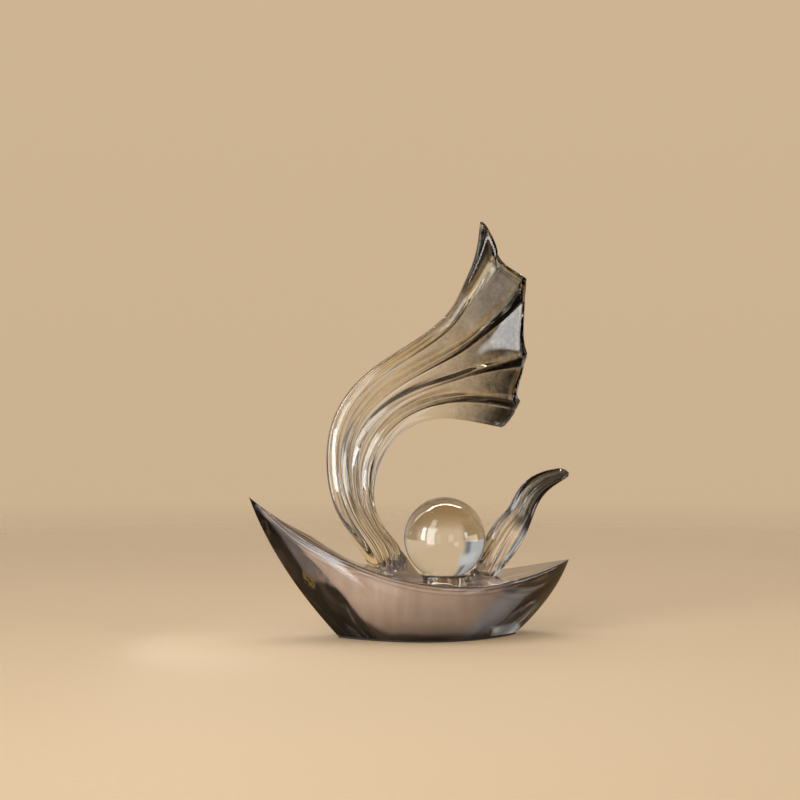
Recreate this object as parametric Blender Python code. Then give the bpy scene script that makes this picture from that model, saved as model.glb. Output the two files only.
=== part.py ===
"""Resin sailboat figurine: a tinted hull that carries a fluted sail, a small plume and a ball.

Frame: metres, +X towards the stern, +Y away from the viewer, +Z up. The origin lies on the
surface that the figurine stands on, under the middle of the hull. The sail, the plume and the
ball stand on the middle plane of the hull, where y is 0.
"""
import bmesh
import bpy
import math
import numpy as np

# Clearances
GLUE_GAP = 0.0003              # between two pieces that are glued or rest on each other
BALL_GAP = 0.0005              # between the ball and the castings that curve round it
FOOT_GAP = 1.4 * GLUE_GAP      # below a glued foot, measured along its leaning edge

# Hull
HULL_LENGTH = 0.1976           # bow tip to stern tip
HULL_BEAM = 0.0780             # widest breadth of the deck
BOW_HEIGHT = 0.0858
STERN_HEIGHT = 0.0455
DECK_HEIGHT = 0.0335           # lowest point of the deck
BOW_SWEEP = 2.2                # how late the deck rises towards the bow
STERN_SWEEP = 1.55             # how late it rises towards the stern
DECK_FULLNESS = 1.45           # moves the widest station aft, 1 is amidships
DECK_BLUNTNESS = 0.85          # power of the deck outline, 1 gives leaf shaped tips
BOW_OVERHANG = 0.0538          # bow tip beyond the fore corner of the leaf shaped base
STERN_OVERHANG = 0.0328        # stern tip beyond its aft corner
BASE_BEAM = 0.0650
BOW_BULGE = 0.0059             # how far the bow line swells beyond a straight line
STERN_BULGE = 0.0043
SIDE_BULGE = 0.0020            # how far the sides swell between base and rim
RIM_RADIUS = 0.0020            # rounded edge between the sides and the deck
NARROW_SHARE = 0.30            # most that the rim and the crest take of a half breadth

# Ball and its seat
BALL_DIAMETER = 0.0500
BALL_FROM_STERN = 0.0778       # stern tip to the ball's centre line
SEAT_OUTER_DIAMETER = 0.0352
SEAT_BORE = 0.0212
SEAT_HEIGHT = 0.0042
SEAT_EDGE_RADIUS = 0.0018
SEAT_CONTACT = 0.70            # share of the seat's height at which its cup begins
POCKET_DEPTH = 0.0002          # how far the seat's pocket goes below the lowest deck
POCKET_CUT = 0.0200            # how far its cutter reaches above the floor

# Places on the deck, aft of the ball's centre line
DECK_LOW_AFT = 0.0110          # where the deck is lowest
SAIL_MOUND_AFT = -0.0300
PLUME_MOUND_AFT = 0.0200

# Swellings of the deck
BOW_CREST_BACK = 0.0328        # bow tip to the middle of the crest along the bow
BOW_CREST_HEIGHT = 0.0040
BOW_CREST_LENGTH = 0.0250
SAIL_MOUND_HEIGHT = 0.0170
SAIL_MOUND_LENGTH = 0.0110
SAIL_MOUND_WIDTH = 0.0120
PLUME_MOUND_HEIGHT = 0.0070
PLUME_MOUND_LENGTH = 0.0078
PLUME_MOUND_WIDTH = 0.0100

# Pad
PAD_THICKNESS = 0.0010
PAD_INSET = 0.0003             # how far the pad stays inside the edge of the base

# Sail: its outlines in the middle plane, as x aft of the ball's centre line and z above the
# lowest deck, stretched to the sail's height. Each flute ends in a dip or, if that is negative,
# a bulge of the free edge, with two powers for the way it comes and goes. A ridge has its share
# of the way across at the foot and at the neck, and how late it turns to its tip.
SAIL_HEIGHT = 0.2185           # highest tip above the lowest deck
SAIL_OUTER_EDGE = [(-0.0450, 0.0075), (-0.0545, 0.0223), (-0.0648, 0.0383), (-0.0710, 0.0565),
                   (-0.0727, 0.0745), (-0.0697, 0.0960), (-0.0585, 0.1165), (-0.0415, 0.1320),
                   (-0.0135, 0.1503), (0.0048, 0.1677), (0.0120, 0.1827), (0.0162, 0.1933),
                   (0.0186, 0.2033)]
SAIL_INNER_EDGE = [(-0.0265, 0.0045), (-0.0278, 0.0205), (-0.0345, 0.0297), (-0.0418, 0.0425),
                   (-0.0433, 0.0595), (-0.0363, 0.0793), (-0.0242, 0.0920), (-0.0051, 0.0987),
                   (0.0150, 0.0973)]
SAIL_TIPS = [(0.0197, 0.2185), (0.0298, 0.1993), (0.0472, 0.1842), (0.0478, 0.1409),
             (0.0436, 0.1122), (0.0329, 0.0938)]
SAIL_DIPS = [(-0.0026, 0.45, 0.7), (0.0013, 1.0, 2.0), (0.0016, 3.0, 1.0), (0.0016, 3.0, 1.0),
             (-0.0018, 1.0, 1.0)]
SAIL_RIDGES = [(0.28, 0.10, 13.0), (0.50, 0.31, 3.0), (0.66, 0.52, 4.0), (0.82, 0.76, 7.0)]
SAIL_STEM_THICKNESS = 0.0230
SAIL_FAN_THICKNESS = 0.0140
SAIL_FOOT_FLARE = 0.0040       # extra thickness at the deck
SAIL_FLUTE_DEPTH = 0.0047      # at the free edge
SAIL_PLEAT_PLACE = 0.28        # where a pleat is deepest, as a share of the flute's breadth
SAIL_CURL = 0.0125             # how far the free edge curls to the front
SAIL_EDGE_ROUND = 0.30         # roundness of the fan's long edges, 1 is a full round

# Plume: its outlines in the middle plane, in the same way
PLUME_HEIGHT = 0.0681          # highest point above the lowest deck
PLUME_FORE_EDGE = [(0.0188, 0.0035), (0.0213, 0.0145), (0.0266, 0.0280), (0.0338, 0.0377),
                   (0.0392, 0.0435), (0.0439, 0.0518), (0.0510, 0.0606), (0.0604, 0.0658)]
PLUME_AFT_EDGE = [(0.0295, 0.0000), (0.0345, 0.0051), (0.0423, 0.0142), (0.0490, 0.0241),
                  (0.0541, 0.0355), (0.0579, 0.0451), (0.0643, 0.0539), (0.0725, 0.0598)]
PLUME_TIPS = [(0.0715, 0.0681), (0.0753, 0.0675), (0.0775, 0.0653), (0.0773, 0.0631),
              (0.0753, 0.0615)]
PLUME_DIPS = [(0.0, 1.0, 1.0)] * 4
PLUME_RIDGES = [(0.25, 0.22, 8.0), (0.50, 0.45, 8.0), (0.75, 0.72, 8.0)]
PLUME_STEM_THICKNESS = 0.0170
PLUME_TIP_THICKNESS = 0.0050
PLUME_FOOT_FLARE = 0.0020
PLUME_FLUTE_DEPTH = 0.0008
PLUME_EDGE_ROUND = 0.85

# Both plumes, as shares of their length from foot to free edge
FLARE_LENGTH = 0.05            # of the thickening at the deck
NECK_PLACE = 0.50              # where the ridges have moved to their shares at the neck
CURL_START = 0.55              # where the curl to the front begins
CURL_POWER = 3                 # how late it turns
STEM_TAPER = 1.5               # how soon the stem thins towards the free edge
EDGE_TAPER = 0.7               # how soon the long edges lose their full round
FOOT_FLUTE_SHARE = 0.5         # depth of the flutes at the foot, as a share of the full depth

# Fineness of the facets
HULL_STATIONS = 56
HULL_LEVELS = 6
DECK_STRIPS = 7                # on each side of the middle line
RIM_STEPS = 3

# Heights and places that follow from the sizes above
BASE_FORE_X = BOW_OVERHANG - HULL_LENGTH / 2
BASE_AFT_X = HULL_LENGTH / 2 - STERN_OVERHANG
BOW_CREST_X = BOW_CREST_BACK - HULL_LENGTH / 2
BALL_X = HULL_LENGTH / 2 - BALL_FROM_STERN
DECK_LOW_X = BALL_X + DECK_LOW_AFT
SAIL_MOUND_X = BALL_X + SAIL_MOUND_AFT
PLUME_MOUND_X = BALL_X + PLUME_MOUND_AFT
HULL_FLOOR = PAD_THICKNESS + GLUE_GAP
BALL_RADIUS = BALL_DIAMETER / 2
POCKET_FLOOR = DECK_HEIGHT - POCKET_DEPTH
SEAT_FLOOR = POCKET_FLOOR + GLUE_GAP
SEAT_TOP = SEAT_FLOOR + SEAT_HEIGHT


def clear_scene():
    for item in list(bpy.data.objects):
        bpy.data.objects.remove(item, do_unlink=True)


def make_material(name, colour, roughness, transmission):
    material = bpy.data.materials.new(name)
    material.use_nodes = True
    shader = material.node_tree.nodes["Principled BSDF"]
    shader.inputs["Base Color"].default_value = (*colour, 1.0)
    shader.inputs["Roughness"].default_value = roughness
    shader.inputs["Metallic"].default_value = 0.0
    shader.inputs["Transmission Weight"].default_value = transmission
    material.diffuse_color = (*colour, 1.0)
    return material


def make_object(name, vertices, faces, material, sharp_degrees=35):
    mesh = bpy.data.meshes.new(name)
    mesh.from_pydata([tuple(v) for v in vertices], [], faces)
    mesh.validate()
    work = bmesh.new()
    work.from_mesh(mesh)
    bmesh.ops.recalc_face_normals(work, faces=work.faces)
    bmesh.ops.triangulate(work, faces=work.faces, quad_method="FIXED")
    work.to_mesh(mesh)
    work.free()
    mesh.shade_smooth()
    mesh.set_sharp_from_angle(angle=math.radians(sharp_degrees))
    if material:
        mesh.materials.append(material)
    item = bpy.data.objects.new(name, mesh)
    bpy.context.scene.collection.objects.link(item)
    return item


def cut(target, cutter):
    cutter.hide_render = True
    cutter.display_type = "WIRE"
    step = target.modifiers.new("Cut by " + cutter.name, "BOOLEAN")
    step.operation = "DIFFERENCE"
    step.solver = "EXACT"
    step.object = cutter


def placed(points, drawn_height, height):
    """Outline points moved to the ball and the deck, and stretched to their real height."""
    stretch = height / drawn_height
    return [(BALL_X + x, DECK_HEIGHT + z * stretch) for x, z in points]


def spline(points, places):
    """Natural cubic curve through points, read at places from 0 to 1 of its length."""
    knots = np.array(points, dtype=float)
    steps = np.linalg.norm(np.diff(knots, axis=0), axis=1)
    at = np.concatenate([[0.0], np.cumsum(steps)])
    count = len(knots)
    system = np.eye(count)
    right = np.zeros((count, 2))
    for i in range(1, count - 1):
        before, after = steps[i - 1], steps[i]
        system[i, i - 1:i + 2] = before, 2 * (before + after), after
        right[i] = 6 * ((knots[i + 1] - knots[i]) / after - (knots[i] - knots[i - 1]) / before)
    bend = np.linalg.solve(system, right)

    def read(where):
        i = np.clip(np.searchsorted(at, where, side="right") - 1, 0, count - 2)
        span = steps[i][:, None]
        low = (at[i + 1] - where)[:, None]
        high = (where - at[i])[:, None]
        cubic = (bend[i] * low ** 3 + bend[i + 1] * high ** 3) / (6 * span)
        line_low = (knots[i] / span - bend[i] * span / 6) * low
        line_high = (knots[i + 1] / span - bend[i + 1] * span / 6) * high
        return cubic + line_low + line_high

    fine = np.linspace(0.0, at[-1], 400)
    walk = np.linalg.norm(np.diff(read(fine), axis=0), axis=1)
    length = np.concatenate([[0.0], np.cumsum(walk)])
    return read(np.interp(np.asarray(places) * length[-1], length, fine))


def outset(places, halves, grow):
    """Move a row of a plume outward by a clearance, square to its outline."""
    run = places[-1] - places[0]
    run = run / np.linalg.norm(run)
    outline = np.array([((place - places[0]) @ run, half) for place, half in zip(places, halves)])
    before = np.vstack([outline[1] * (1, -1), outline[:-1]])
    after = np.vstack([outline[1:], outline[-2] * (1, -1)])
    first = outline - before
    second = after - outline
    first = first / np.linalg.norm(first, axis=1)[:, None]
    second = second / np.linalg.norm(second, axis=1)[:, None]
    first = np.column_stack([-first[:, 1], first[:, 0]])
    second = np.column_stack([-second[:, 1], second[:, 0]])
    corner = 1 + np.sum(first * second, axis=1)
    move = grow * (first + second) / corner[:, None]
    moved = [place + run * step[0] for place, step in zip(places, move)]
    return moved, [half + step[1] for half, step in zip(halves, move)]


def free_edge(shape, flute, part):
    """Point of the free edge at a share of the way along a flute, with the flute's dip."""
    start = np.array(shape["tips"][flute])
    end = np.array(shape["tips"][flute + 1])
    depth, come, go = shape["dips"][flute]
    top = come / (come + go)
    run = end - start
    inward = np.array([run[1], -run[0]]) / np.linalg.norm(run)
    dip = depth * (part / top) ** come * ((1 - part) / (1 - top)) ** go
    return start + run * part + inward * dip


def flute_parts(shape):
    """Shares of a flute's breadth at which its columns stand, with one where it is deepest."""
    steep, broad = shape["cells"]
    deepest = shape["pleat_place"]
    parts = [deepest * k / steep for k in range(steep)]
    return parts + [deepest + (1 - deepest) * k / broad for k in range(broad)]


def flute_columns(shape):
    """For each column: flute, share of it, foot share, neck share and lateness of the spread."""
    flutes = len(shape["tips"]) - 1
    ridges = shape["ridges"]
    ends = [(0.0, 0.0, ridges[0][2])] + ridges + [(1.0, 1.0, ridges[-1][2])]
    columns = []
    for flute in range(flutes):
        for part in flute_parts(shape):
            if flute == 0:
                part = 1 - math.cos(math.pi / 2 * part)
            if flute == flutes - 1:
                part = math.sin(math.pi / 2 * part)
            low, high = ends[flute], ends[flute + 1]
            mixed = [a + (b - a) * part for a, b in zip(low, high)]
            columns.append((flute, part, *mixed))
    columns.append((flutes - 1, 1.0, *ends[-1]))
    return columns


def hollow(shape, part, t):
    """Share of the flute's depth: a round hollow at the foot that becomes a creased pleat."""
    deepest = shape["pleat_place"]
    round_form = 4 * part * (1 - part)
    pleat = min(part / deepest, (1 - part) / (1 - deepest))
    return round_form + (pleat - round_form) * shape["pleated"] * t


def fluted(shape, grow=0.0, rows=None):
    """Closed solid of a fluted plume, built as a patch between its four outlines.

    A row runs across the plume, from the outer edge to the inner edge. Its front and back
    faces are mirrored about the middle surface and meet in the rounded edges.
    """
    rows = rows or shape["rows"]
    crossing = flute_columns(shape)
    columns = len(crossing) - 1
    places = np.arange(rows + 1) / shape["rows"]
    outer = spline(shape["outer"], places)
    inner = spline(shape["inner"], places)
    end_outer = np.array(shape["outer"][-1])
    end_inner = np.array(shape["inner"][-1])
    vertices = []
    for i, t in enumerate(places):
        half = shape["tip_half"]
        half += (shape["stem_half"] - shape["tip_half"]) * (1 - t) ** STEM_TAPER
        half += shape["flare"] * math.exp(-t / FLARE_LENGTH)
        squareness = 1.0 - (1.0 - shape["edge_round"]) * t ** EDGE_TAPER
        depth = shape["flute_depth"] * (FOOT_FLUTE_SHARE + (1 - FOOT_FLUTE_SHARE) * t)
        curl = shape["curl"] * max(0.0, (t - CURL_START) / (1 - CURL_START)) ** CURL_POWER
        ease = min(t / NECK_PLACE, 1.0)
        ease = ease * ease * (3 - 2 * ease)
        row = []
        halves = []
        for flute, part, foot, neck, spread in crossing:
            across = foot + (neck - foot) * ease
            straight = (1 - neck) * end_outer + neck * end_inner
            tip = free_edge(shape, flute, part)
            place = (1 - across) * outer[i] + across * inner[i]
            row.append(place + (tip - straight) * t ** spread)
            round_off = (4 * across * (1 - across)) ** (squareness / 2)
            halves.append((half - depth * hollow(shape, part, t)) * round_off)
        if grow > 0.0:
            row, halves = outset(row, halves, grow)
        front = [(x, -curl - h, z) for (x, z), h in zip(row[1:-1], halves[1:-1])]
        back = [(x, -curl + h, z) for (x, z), h in zip(row[1:-1], halves[1:-1])]
        ends = [(x, -curl, z) for x, z in (row[0], row[-1])]
        vertices += ends[:1] + front + ends[1:] + back[::-1]
    ring = 2 * columns
    faces = []
    for i in range(rows):
        for j in range(ring):
            k = (j + 1) % ring
            a = i * ring
            b = a + ring
            faces.append((a + j, a + k, b + k, b + j))
    for base in (0, rows * ring):
        faces.append((base, base + 1, base + ring - 1))
        for j in range(1, columns - 1):
            faces.append((base + j, base + j + 1, base + ring - j - 1, base + ring - j))
        faces.append((base + columns - 1, base + columns, base + columns + 1))
    return vertices, faces


def sail_shape():
    drawn = SAIL_TIPS[0][1]
    return {"outer": placed(SAIL_OUTER_EDGE + SAIL_TIPS[:1], drawn, SAIL_HEIGHT),
            "inner": placed(SAIL_INNER_EDGE + SAIL_TIPS[-1:], drawn, SAIL_HEIGHT),
            "tips": placed(SAIL_TIPS, drawn, SAIL_HEIGHT),
            "stem_half": SAIL_STEM_THICKNESS / 2, "tip_half": SAIL_FAN_THICKNESS / 2,
            "flare": SAIL_FOOT_FLARE / 2, "flute_depth": SAIL_FLUTE_DEPTH,
            "pleated": 1.0, "pleat_place": SAIL_PLEAT_PLACE,
            "curl": SAIL_CURL, "ridges": SAIL_RIDGES, "dips": SAIL_DIPS,
            "edge_round": SAIL_EDGE_ROUND, "rows": 44, "cells": (2, 3)}


def plume_shape():
    drawn = PLUME_TIPS[0][1]
    return {"outer": placed(PLUME_FORE_EDGE + PLUME_TIPS[:1], drawn, PLUME_HEIGHT),
            "inner": placed(PLUME_AFT_EDGE + PLUME_TIPS[-1:], drawn, PLUME_HEIGHT),
            "tips": placed(PLUME_TIPS, drawn, PLUME_HEIGHT),
            "stem_half": PLUME_STEM_THICKNESS / 2, "tip_half": PLUME_TIP_THICKNESS / 2,
            "flare": PLUME_FOOT_FLARE / 2, "flute_depth": PLUME_FLUTE_DEPTH,
            "pleated": 0.0, "pleat_place": 0.5,
            "curl": 0.0, "ridges": PLUME_RIDGES, "dips": PLUME_DIPS,
            "edge_round": PLUME_EDGE_ROUND, "rows": 22, "cells": (2, 2)}


def sheer(x):
    """Height of the deck along the hull, without the swellings."""
    half = HULL_LENGTH / 2
    if x < DECK_LOW_X:
        rise = BOW_HEIGHT - DECK_HEIGHT
        return DECK_HEIGHT + rise * ((DECK_LOW_X - x) / (DECK_LOW_X + half)) ** BOW_SWEEP
    rise = STERN_HEIGHT - DECK_HEIGHT
    return DECK_HEIGHT + rise * ((x - DECK_LOW_X) / (half - DECK_LOW_X)) ** STERN_SWEEP


def mounds(x, y):
    """Swelling of the deck under the sail and under the plume."""
    sail = ((x - SAIL_MOUND_X) / SAIL_MOUND_LENGTH) ** 2 + (y / SAIL_MOUND_WIDTH) ** 2
    plume = ((x - PLUME_MOUND_X) / PLUME_MOUND_LENGTH) ** 2 + (y / PLUME_MOUND_WIDTH) ** 2
    return SAIL_MOUND_HEIGHT * math.exp(-sail) + PLUME_MOUND_HEIGHT * math.exp(-plume)


def hull_place(s, level):
    """Place along the hull and half breadth at a level, 0 at the base and 1 at the deck."""
    half = HULL_LENGTH / 2
    swell = 4 * level * (1 - level)
    fore = BASE_FORE_X + (-half - BASE_FORE_X) * level - BOW_BULGE * swell
    aft = BASE_AFT_X + (half - BASE_AFT_X) * level + STERN_BULGE * swell
    lens = 4 * s * (1 - s)
    full = s ** DECK_FULLNESS
    deck = HULL_BEAM / 2 * (4 * full * (1 - full)) ** DECK_BLUNTNESS
    base = BASE_BEAM / 2 * lens
    breadth = base + (deck - base) * level + SIDE_BULGE * swell * lens
    return fore + (aft - fore) * s, breadth


def hull_section(s):
    """Right half of a cross section, from the base edge to the middle of the deck."""
    top_x, top_breadth = hull_place(s, 1.0)
    top = sheer(top_x)
    radius = min(RIM_RADIUS, NARROW_SHARE * top_breadth)
    points = []
    for k in range(HULL_LEVELS + 1):
        level = k / HULL_LEVELS * (top - radius - HULL_FLOOR) / (top - HULL_FLOOR)
        x, breadth = hull_place(s, level)
        points.append((x, breadth, HULL_FLOOR + level * (top - HULL_FLOOR)))
    side_x, side_breadth = points[-1][0], points[-1][1]
    for k in range(1, RIM_STEPS + 1):
        turn = math.pi / 2 * k / RIM_STEPS
        x = side_x + (top_x - side_x) * math.sin(turn)
        breadth = side_breadth - radius * (1 - math.cos(turn))
        points.append((x, breadth, top - radius * (1 - math.sin(turn))))
    deck_x, deck_breadth = points[-1][0], points[-1][1]
    crest = BOW_CREST_HEIGHT * math.exp(-((deck_x - BOW_CREST_X) / BOW_CREST_LENGTH) ** 2)
    crest = min(crest, NARROW_SHARE * deck_breadth)
    for k in range(1, DECK_STRIPS + 1):
        outward = 1 - k / DECK_STRIPS
        breadth = deck_breadth * outward
        rise = crest * (1 - outward ** 2) + mounds(deck_x, breadth)
        points.append((deck_x, breadth, top + rise))
    return points


def hull_solid():
    """Loft of the cross sections, closed by the two stem lines and the flat bottom."""
    vertices = []
    rows = []
    for i in range(HULL_STATIONS + 1):
        s = (1 - math.cos(math.pi * i / HULL_STATIONS)) / 2
        section = hull_section(s)
        right = []
        left = []
        for x, breadth, z in section:
            if i in (0, HULL_STATIONS):
                vertices.append((x, 0.0, z))
                right.append(len(vertices) - 1)
                left.append(len(vertices) - 1)
                continue
            vertices.append((x, -breadth, z))
            right.append(len(vertices) - 1)
            if breadth > 0.0:
                vertices.append((x, breadth, z))
            left.append(len(vertices) - 1)
        rows.append(right + left[::-1][1:])
    faces = []
    for before, after in zip(rows, rows[1:]):
        loop = list(zip(before, before[1:] + before[:1], after[1:] + after[:1], after))
        for corners in loop:
            face = []
            for corner in corners:
                if corner not in face:
                    face.append(corner)
            if len(face) > 2:
                faces.append(tuple(face))
    return vertices, faces


def hull_end_fix(vertices, faces):
    """Merge the points of the deck that meet in each tip."""
    work = bmesh.new()
    corners = [work.verts.new(v) for v in vertices]
    for face in faces:
        work.faces.new([corners[k] for k in face])
    bmesh.ops.remove_doubles(work, verts=work.verts, dist=1e-6)
    bmesh.ops.dissolve_degenerate(work, edges=work.edges, dist=1e-7)
    work.verts.index_update()
    merged = [tuple(v.co) for v in work.verts]
    kept = [tuple(v.index for v in face.verts) for face in work.faces]
    work.free()
    return merged, kept


def turned(profile, centre_x, steps):
    """Solid turned about the vertical line through centre_x, from a closed profile."""
    vertices = []
    for i in range(steps):
        turn = 2 * math.pi * i / steps
        for radius, z in profile:
            vertices.append((centre_x + radius * math.cos(turn), radius * math.sin(turn), z))
    count = len(profile)
    faces = []
    for i in range(steps):
        a = i * count
        b = (i + 1) % steps * count
        for j in range(count):
            k = (j + 1) % count
            faces.append((a + j, b + j, b + k, a + k))
    return vertices, faces


def sphere(radius, segments, rings):
    """Ball made by turning a half circle, centred on its own origin."""
    vertices = [(0.0, 0.0, -radius)]
    for i in range(1, rings):
        tilt = math.pi * i / rings
        for j in range(segments):
            turn = 2 * math.pi * j / segments
            reach = radius * math.sin(tilt)
            vertices.append((reach * math.cos(turn), reach * math.sin(turn),
                             -radius * math.cos(tilt)))
    vertices.append((0.0, 0.0, radius))
    last = len(vertices) - 1
    faces = []
    for j in range(segments):
        k = (j + 1) % segments
        faces.append((0, 1 + k, 1 + j))
        for i in range(rings - 2):
            a = 1 + i * segments
            faces.append((a + j, a + k, a + segments + k, a + segments + j))
        top = last - segments
        faces.append((top + j, top + k, last))
    return vertices, faces


def ball_height():
    """Height of the ball's centre, from the seat that it rests in."""
    reach = SEAT_BORE / 2
    seat = BALL_RADIUS + GLUE_GAP
    edge = SEAT_FLOOR + SEAT_HEIGHT * SEAT_CONTACT
    return edge + math.sqrt(seat ** 2 - reach ** 2)


def build_ball(material):
    item = make_object("ball", *sphere(BALL_RADIUS, 36, 20), material, sharp_degrees=180)
    item.location = (BALL_X, 0.0, ball_height())
    return item


def build_ball_seat(material):
    """Clear ring with a bore, a hollow cup for the ball and a rounded outer edge."""
    bore = SEAT_BORE / 2
    outer = SEAT_OUTER_DIAMETER / 2
    cup = BALL_RADIUS + GLUE_GAP
    centre = ball_height()
    cup_reach = math.sqrt(cup ** 2 - (centre - SEAT_TOP) ** 2)
    profile = [(bore, SEAT_FLOOR)]
    for k in range(4):
        reach = bore + (cup_reach - bore) * k / 3
        profile.append((reach, centre - math.sqrt(cup ** 2 - reach ** 2)))
    for k in range(5):
        turn = math.pi / 2 * k / 4
        profile.append((outer - SEAT_EDGE_RADIUS * (1 - math.sin(turn)),
                        SEAT_TOP - SEAT_EDGE_RADIUS * (1 - math.cos(turn))))
    profile.append((outer, SEAT_FLOOR))
    return make_object("ball_seat", *turned(profile, BALL_X, 48), material)


def build_base_pad(material):
    """Thin leaf shaped pad under the base."""
    steps = 28
    outline = []
    for i in range(steps + 1):
        s = (1 - math.cos(math.pi * i / steps)) / 2
        x, breadth = hull_place(s, 0.0)
        middle = (BASE_FORE_X + BASE_AFT_X) / 2
        shrink = 1 - 2 * PAD_INSET / BASE_BEAM
        outline.append((middle + (x - middle) * shrink, breadth * shrink))
    loop = [(x, -y) for x, y in outline] + [(x, y) for x, y in outline[-2:0:-1]]
    count = len(loop)
    vertices = [(x, y, 0.0) for x, y in loop] + [(x, y, PAD_THICKNESS) for x, y in loop]
    faces = [tuple(range(count))[::-1], tuple(range(count, 2 * count))]
    for j in range(count):
        k = (j + 1) % count
        faces.append((j, k, count + k, count + j))
    return make_object("base_pad", vertices, faces, material)


def build_sail(material, ball_cutter):
    item = make_object("sail", *fluted(sail_shape()), material, sharp_degrees=30)
    cut(item, ball_cutter)
    return item


def build_plume(material, ball_cutter):
    item = make_object("plume", *fluted(plume_shape()), material, sharp_degrees=30)
    cut(item, ball_cutter)
    return item


def build_ball_cutter():
    """Round clearance for the ball in the castings beside it."""
    item = make_object("ball_clearance", *sphere(BALL_RADIUS + BALL_GAP, 48, 28), None)
    item.location = (BALL_X, 0.0, ball_height())
    return item


def build_foot_cutter(name, shape, rows):
    """Socket for a foot: the same fluted form, wider by the glue gap and a little deeper."""
    lower = dict(shape)
    for edge in ("outer", "inner"):
        first = np.array(shape[edge][0])
        along = first - np.array(shape[edge][1])
        deeper = first + along / np.linalg.norm(along) * FOOT_GAP
        lower[edge] = [tuple(deeper)] + list(shape[edge][1:])
    return make_object(name, *fluted(lower, grow=GLUE_GAP, rows=rows), None)


def build_pocket_cutter():
    """Round pocket for the seat of the ball."""
    reach = SEAT_OUTER_DIAMETER / 2 + GLUE_GAP
    steps = 48
    ring = [(BALL_X + reach * math.cos(2 * math.pi * i / steps),
             reach * math.sin(2 * math.pi * i / steps)) for i in range(steps)]
    top = POCKET_FLOOR + POCKET_CUT
    vertices = [(x, y, POCKET_FLOOR) for x, y in ring] + [(x, y, top) for x, y in ring]
    faces = [tuple(range(steps))[::-1], tuple(range(steps, 2 * steps))]
    for j in range(steps):
        k = (j + 1) % steps
        faces.append((j, k, steps + k, steps + j))
    return make_object("seat_pocket", vertices, faces, None)


def build_hull(material, cutters):
    item = make_object("hull", *hull_end_fix(*hull_solid()), material)
    for cutter in cutters:
        cut(item, cutter)
    return item


def main():
    clear_scene()
    smoke = make_material("smoke_tinted_resin", (0.42, 0.34, 0.31), 0.06, 0.8)
    clear = make_material("clear_resin", (0.86, 0.82, 0.76), 0.05, 0.9)
    glass = make_material("clear_glass", (0.92, 0.94, 0.93), 0.02, 1.0)
    seat = make_material("clear_seat", (0.85, 0.84, 0.80), 0.08, 0.9)
    rubber = make_material("dark_pad", (0.05, 0.045, 0.04), 0.8, 0.0)
    ball_cutter = build_ball_cutter()
    sail_socket = build_foot_cutter("sail_socket", sail_shape(), rows=7)
    plume_socket = build_foot_cutter("plume_socket", plume_shape(), rows=6)
    pocket = build_pocket_cutter()
    build_base_pad(rubber)
    build_hull(smoke, [sail_socket, plume_socket, ball_cutter, pocket])
    build_sail(clear, ball_cutter)
    build_plume(clear, ball_cutter)
    build_ball_seat(seat)
    build_ball(glass)


main()
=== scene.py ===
"""Dresses a resin sailboat figurine: a tinted hull, a fluted sail, a small plume and a glass ball.

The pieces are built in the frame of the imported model: metres, +X towards the stern, +Y away from
the viewer, +Z up, with the middle plane of the hull at y = 0.
"""
import math

import bmesh
import bpy
import numpy as np
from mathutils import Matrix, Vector


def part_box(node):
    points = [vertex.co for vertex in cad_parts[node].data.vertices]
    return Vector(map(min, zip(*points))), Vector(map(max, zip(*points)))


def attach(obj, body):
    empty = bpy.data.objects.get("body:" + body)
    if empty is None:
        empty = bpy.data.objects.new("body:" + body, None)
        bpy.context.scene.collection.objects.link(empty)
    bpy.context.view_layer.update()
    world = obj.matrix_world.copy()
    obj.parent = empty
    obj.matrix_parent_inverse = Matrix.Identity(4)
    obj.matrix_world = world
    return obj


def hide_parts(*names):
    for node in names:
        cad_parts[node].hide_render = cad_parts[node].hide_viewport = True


bl_info = {
    "name": "Resin Sailboat Figurine",
    "version": (1, 0, 0),
    "blender": (4, 5, 0),
    "location": "3D Viewport > Sidebar > Figurine",
    "description": "Builds a cast resin sailboat figurine and its studio",
    "category": "Add Mesh",
}

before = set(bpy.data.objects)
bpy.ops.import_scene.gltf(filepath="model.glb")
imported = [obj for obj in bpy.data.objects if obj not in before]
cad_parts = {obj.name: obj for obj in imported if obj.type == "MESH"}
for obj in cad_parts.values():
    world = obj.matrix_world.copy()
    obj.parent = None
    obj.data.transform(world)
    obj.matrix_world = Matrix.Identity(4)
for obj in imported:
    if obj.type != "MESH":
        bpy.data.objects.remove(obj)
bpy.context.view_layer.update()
HULL_LOW, HULL_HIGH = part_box("hull")
BALL_LOW, BALL_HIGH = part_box("ball")
SEAT_LOW, SEAT_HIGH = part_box("ball_seat")
PAD_LOW, PAD_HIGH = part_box("base_pad")

# Clearances
GLUE_GAP = 0.0003              # between two pieces that are glued or rest on each other
BALL_GAP = 0.0005              # between the ball and the castings that curve round it
FOOT_GAP = 1.4 * GLUE_GAP      # below a glued foot, measured along its leaning edge

# Hull
STERN_HEIGHT = 0.0455
DECK_HEIGHT = 0.0335           # lowest point of the deck
BOW_SWEEP = 2.2                # how late the deck rises towards the bow
STERN_SWEEP = 1.55             # how late it rises towards the stern
DECK_FULLNESS = 1.45           # moves the widest station aft, 1 is amidships
DECK_BLUNTNESS = 0.85          # power of the deck outline, 1 gives leaf shaped tips
BOW_OVERHANG = 0.0538          # bow tip beyond the fore corner of the leaf shaped base
STERN_OVERHANG = 0.0328        # stern tip beyond its aft corner
BASE_BEAM = 0.0650
BOW_BULGE = 0.0059             # how far the bow line swells beyond a straight line
STERN_BULGE = 0.0043
SIDE_BULGE = 0.0020            # how far the sides swell between base and rim
RIM_RADIUS = 0.0020            # rounded edge between the sides and the deck
NARROW_SHARE = 0.30            # most that the rim and the crest take of a half breadth
BASE_FORE_X = HULL_LOW.x + BOW_OVERHANG
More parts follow.
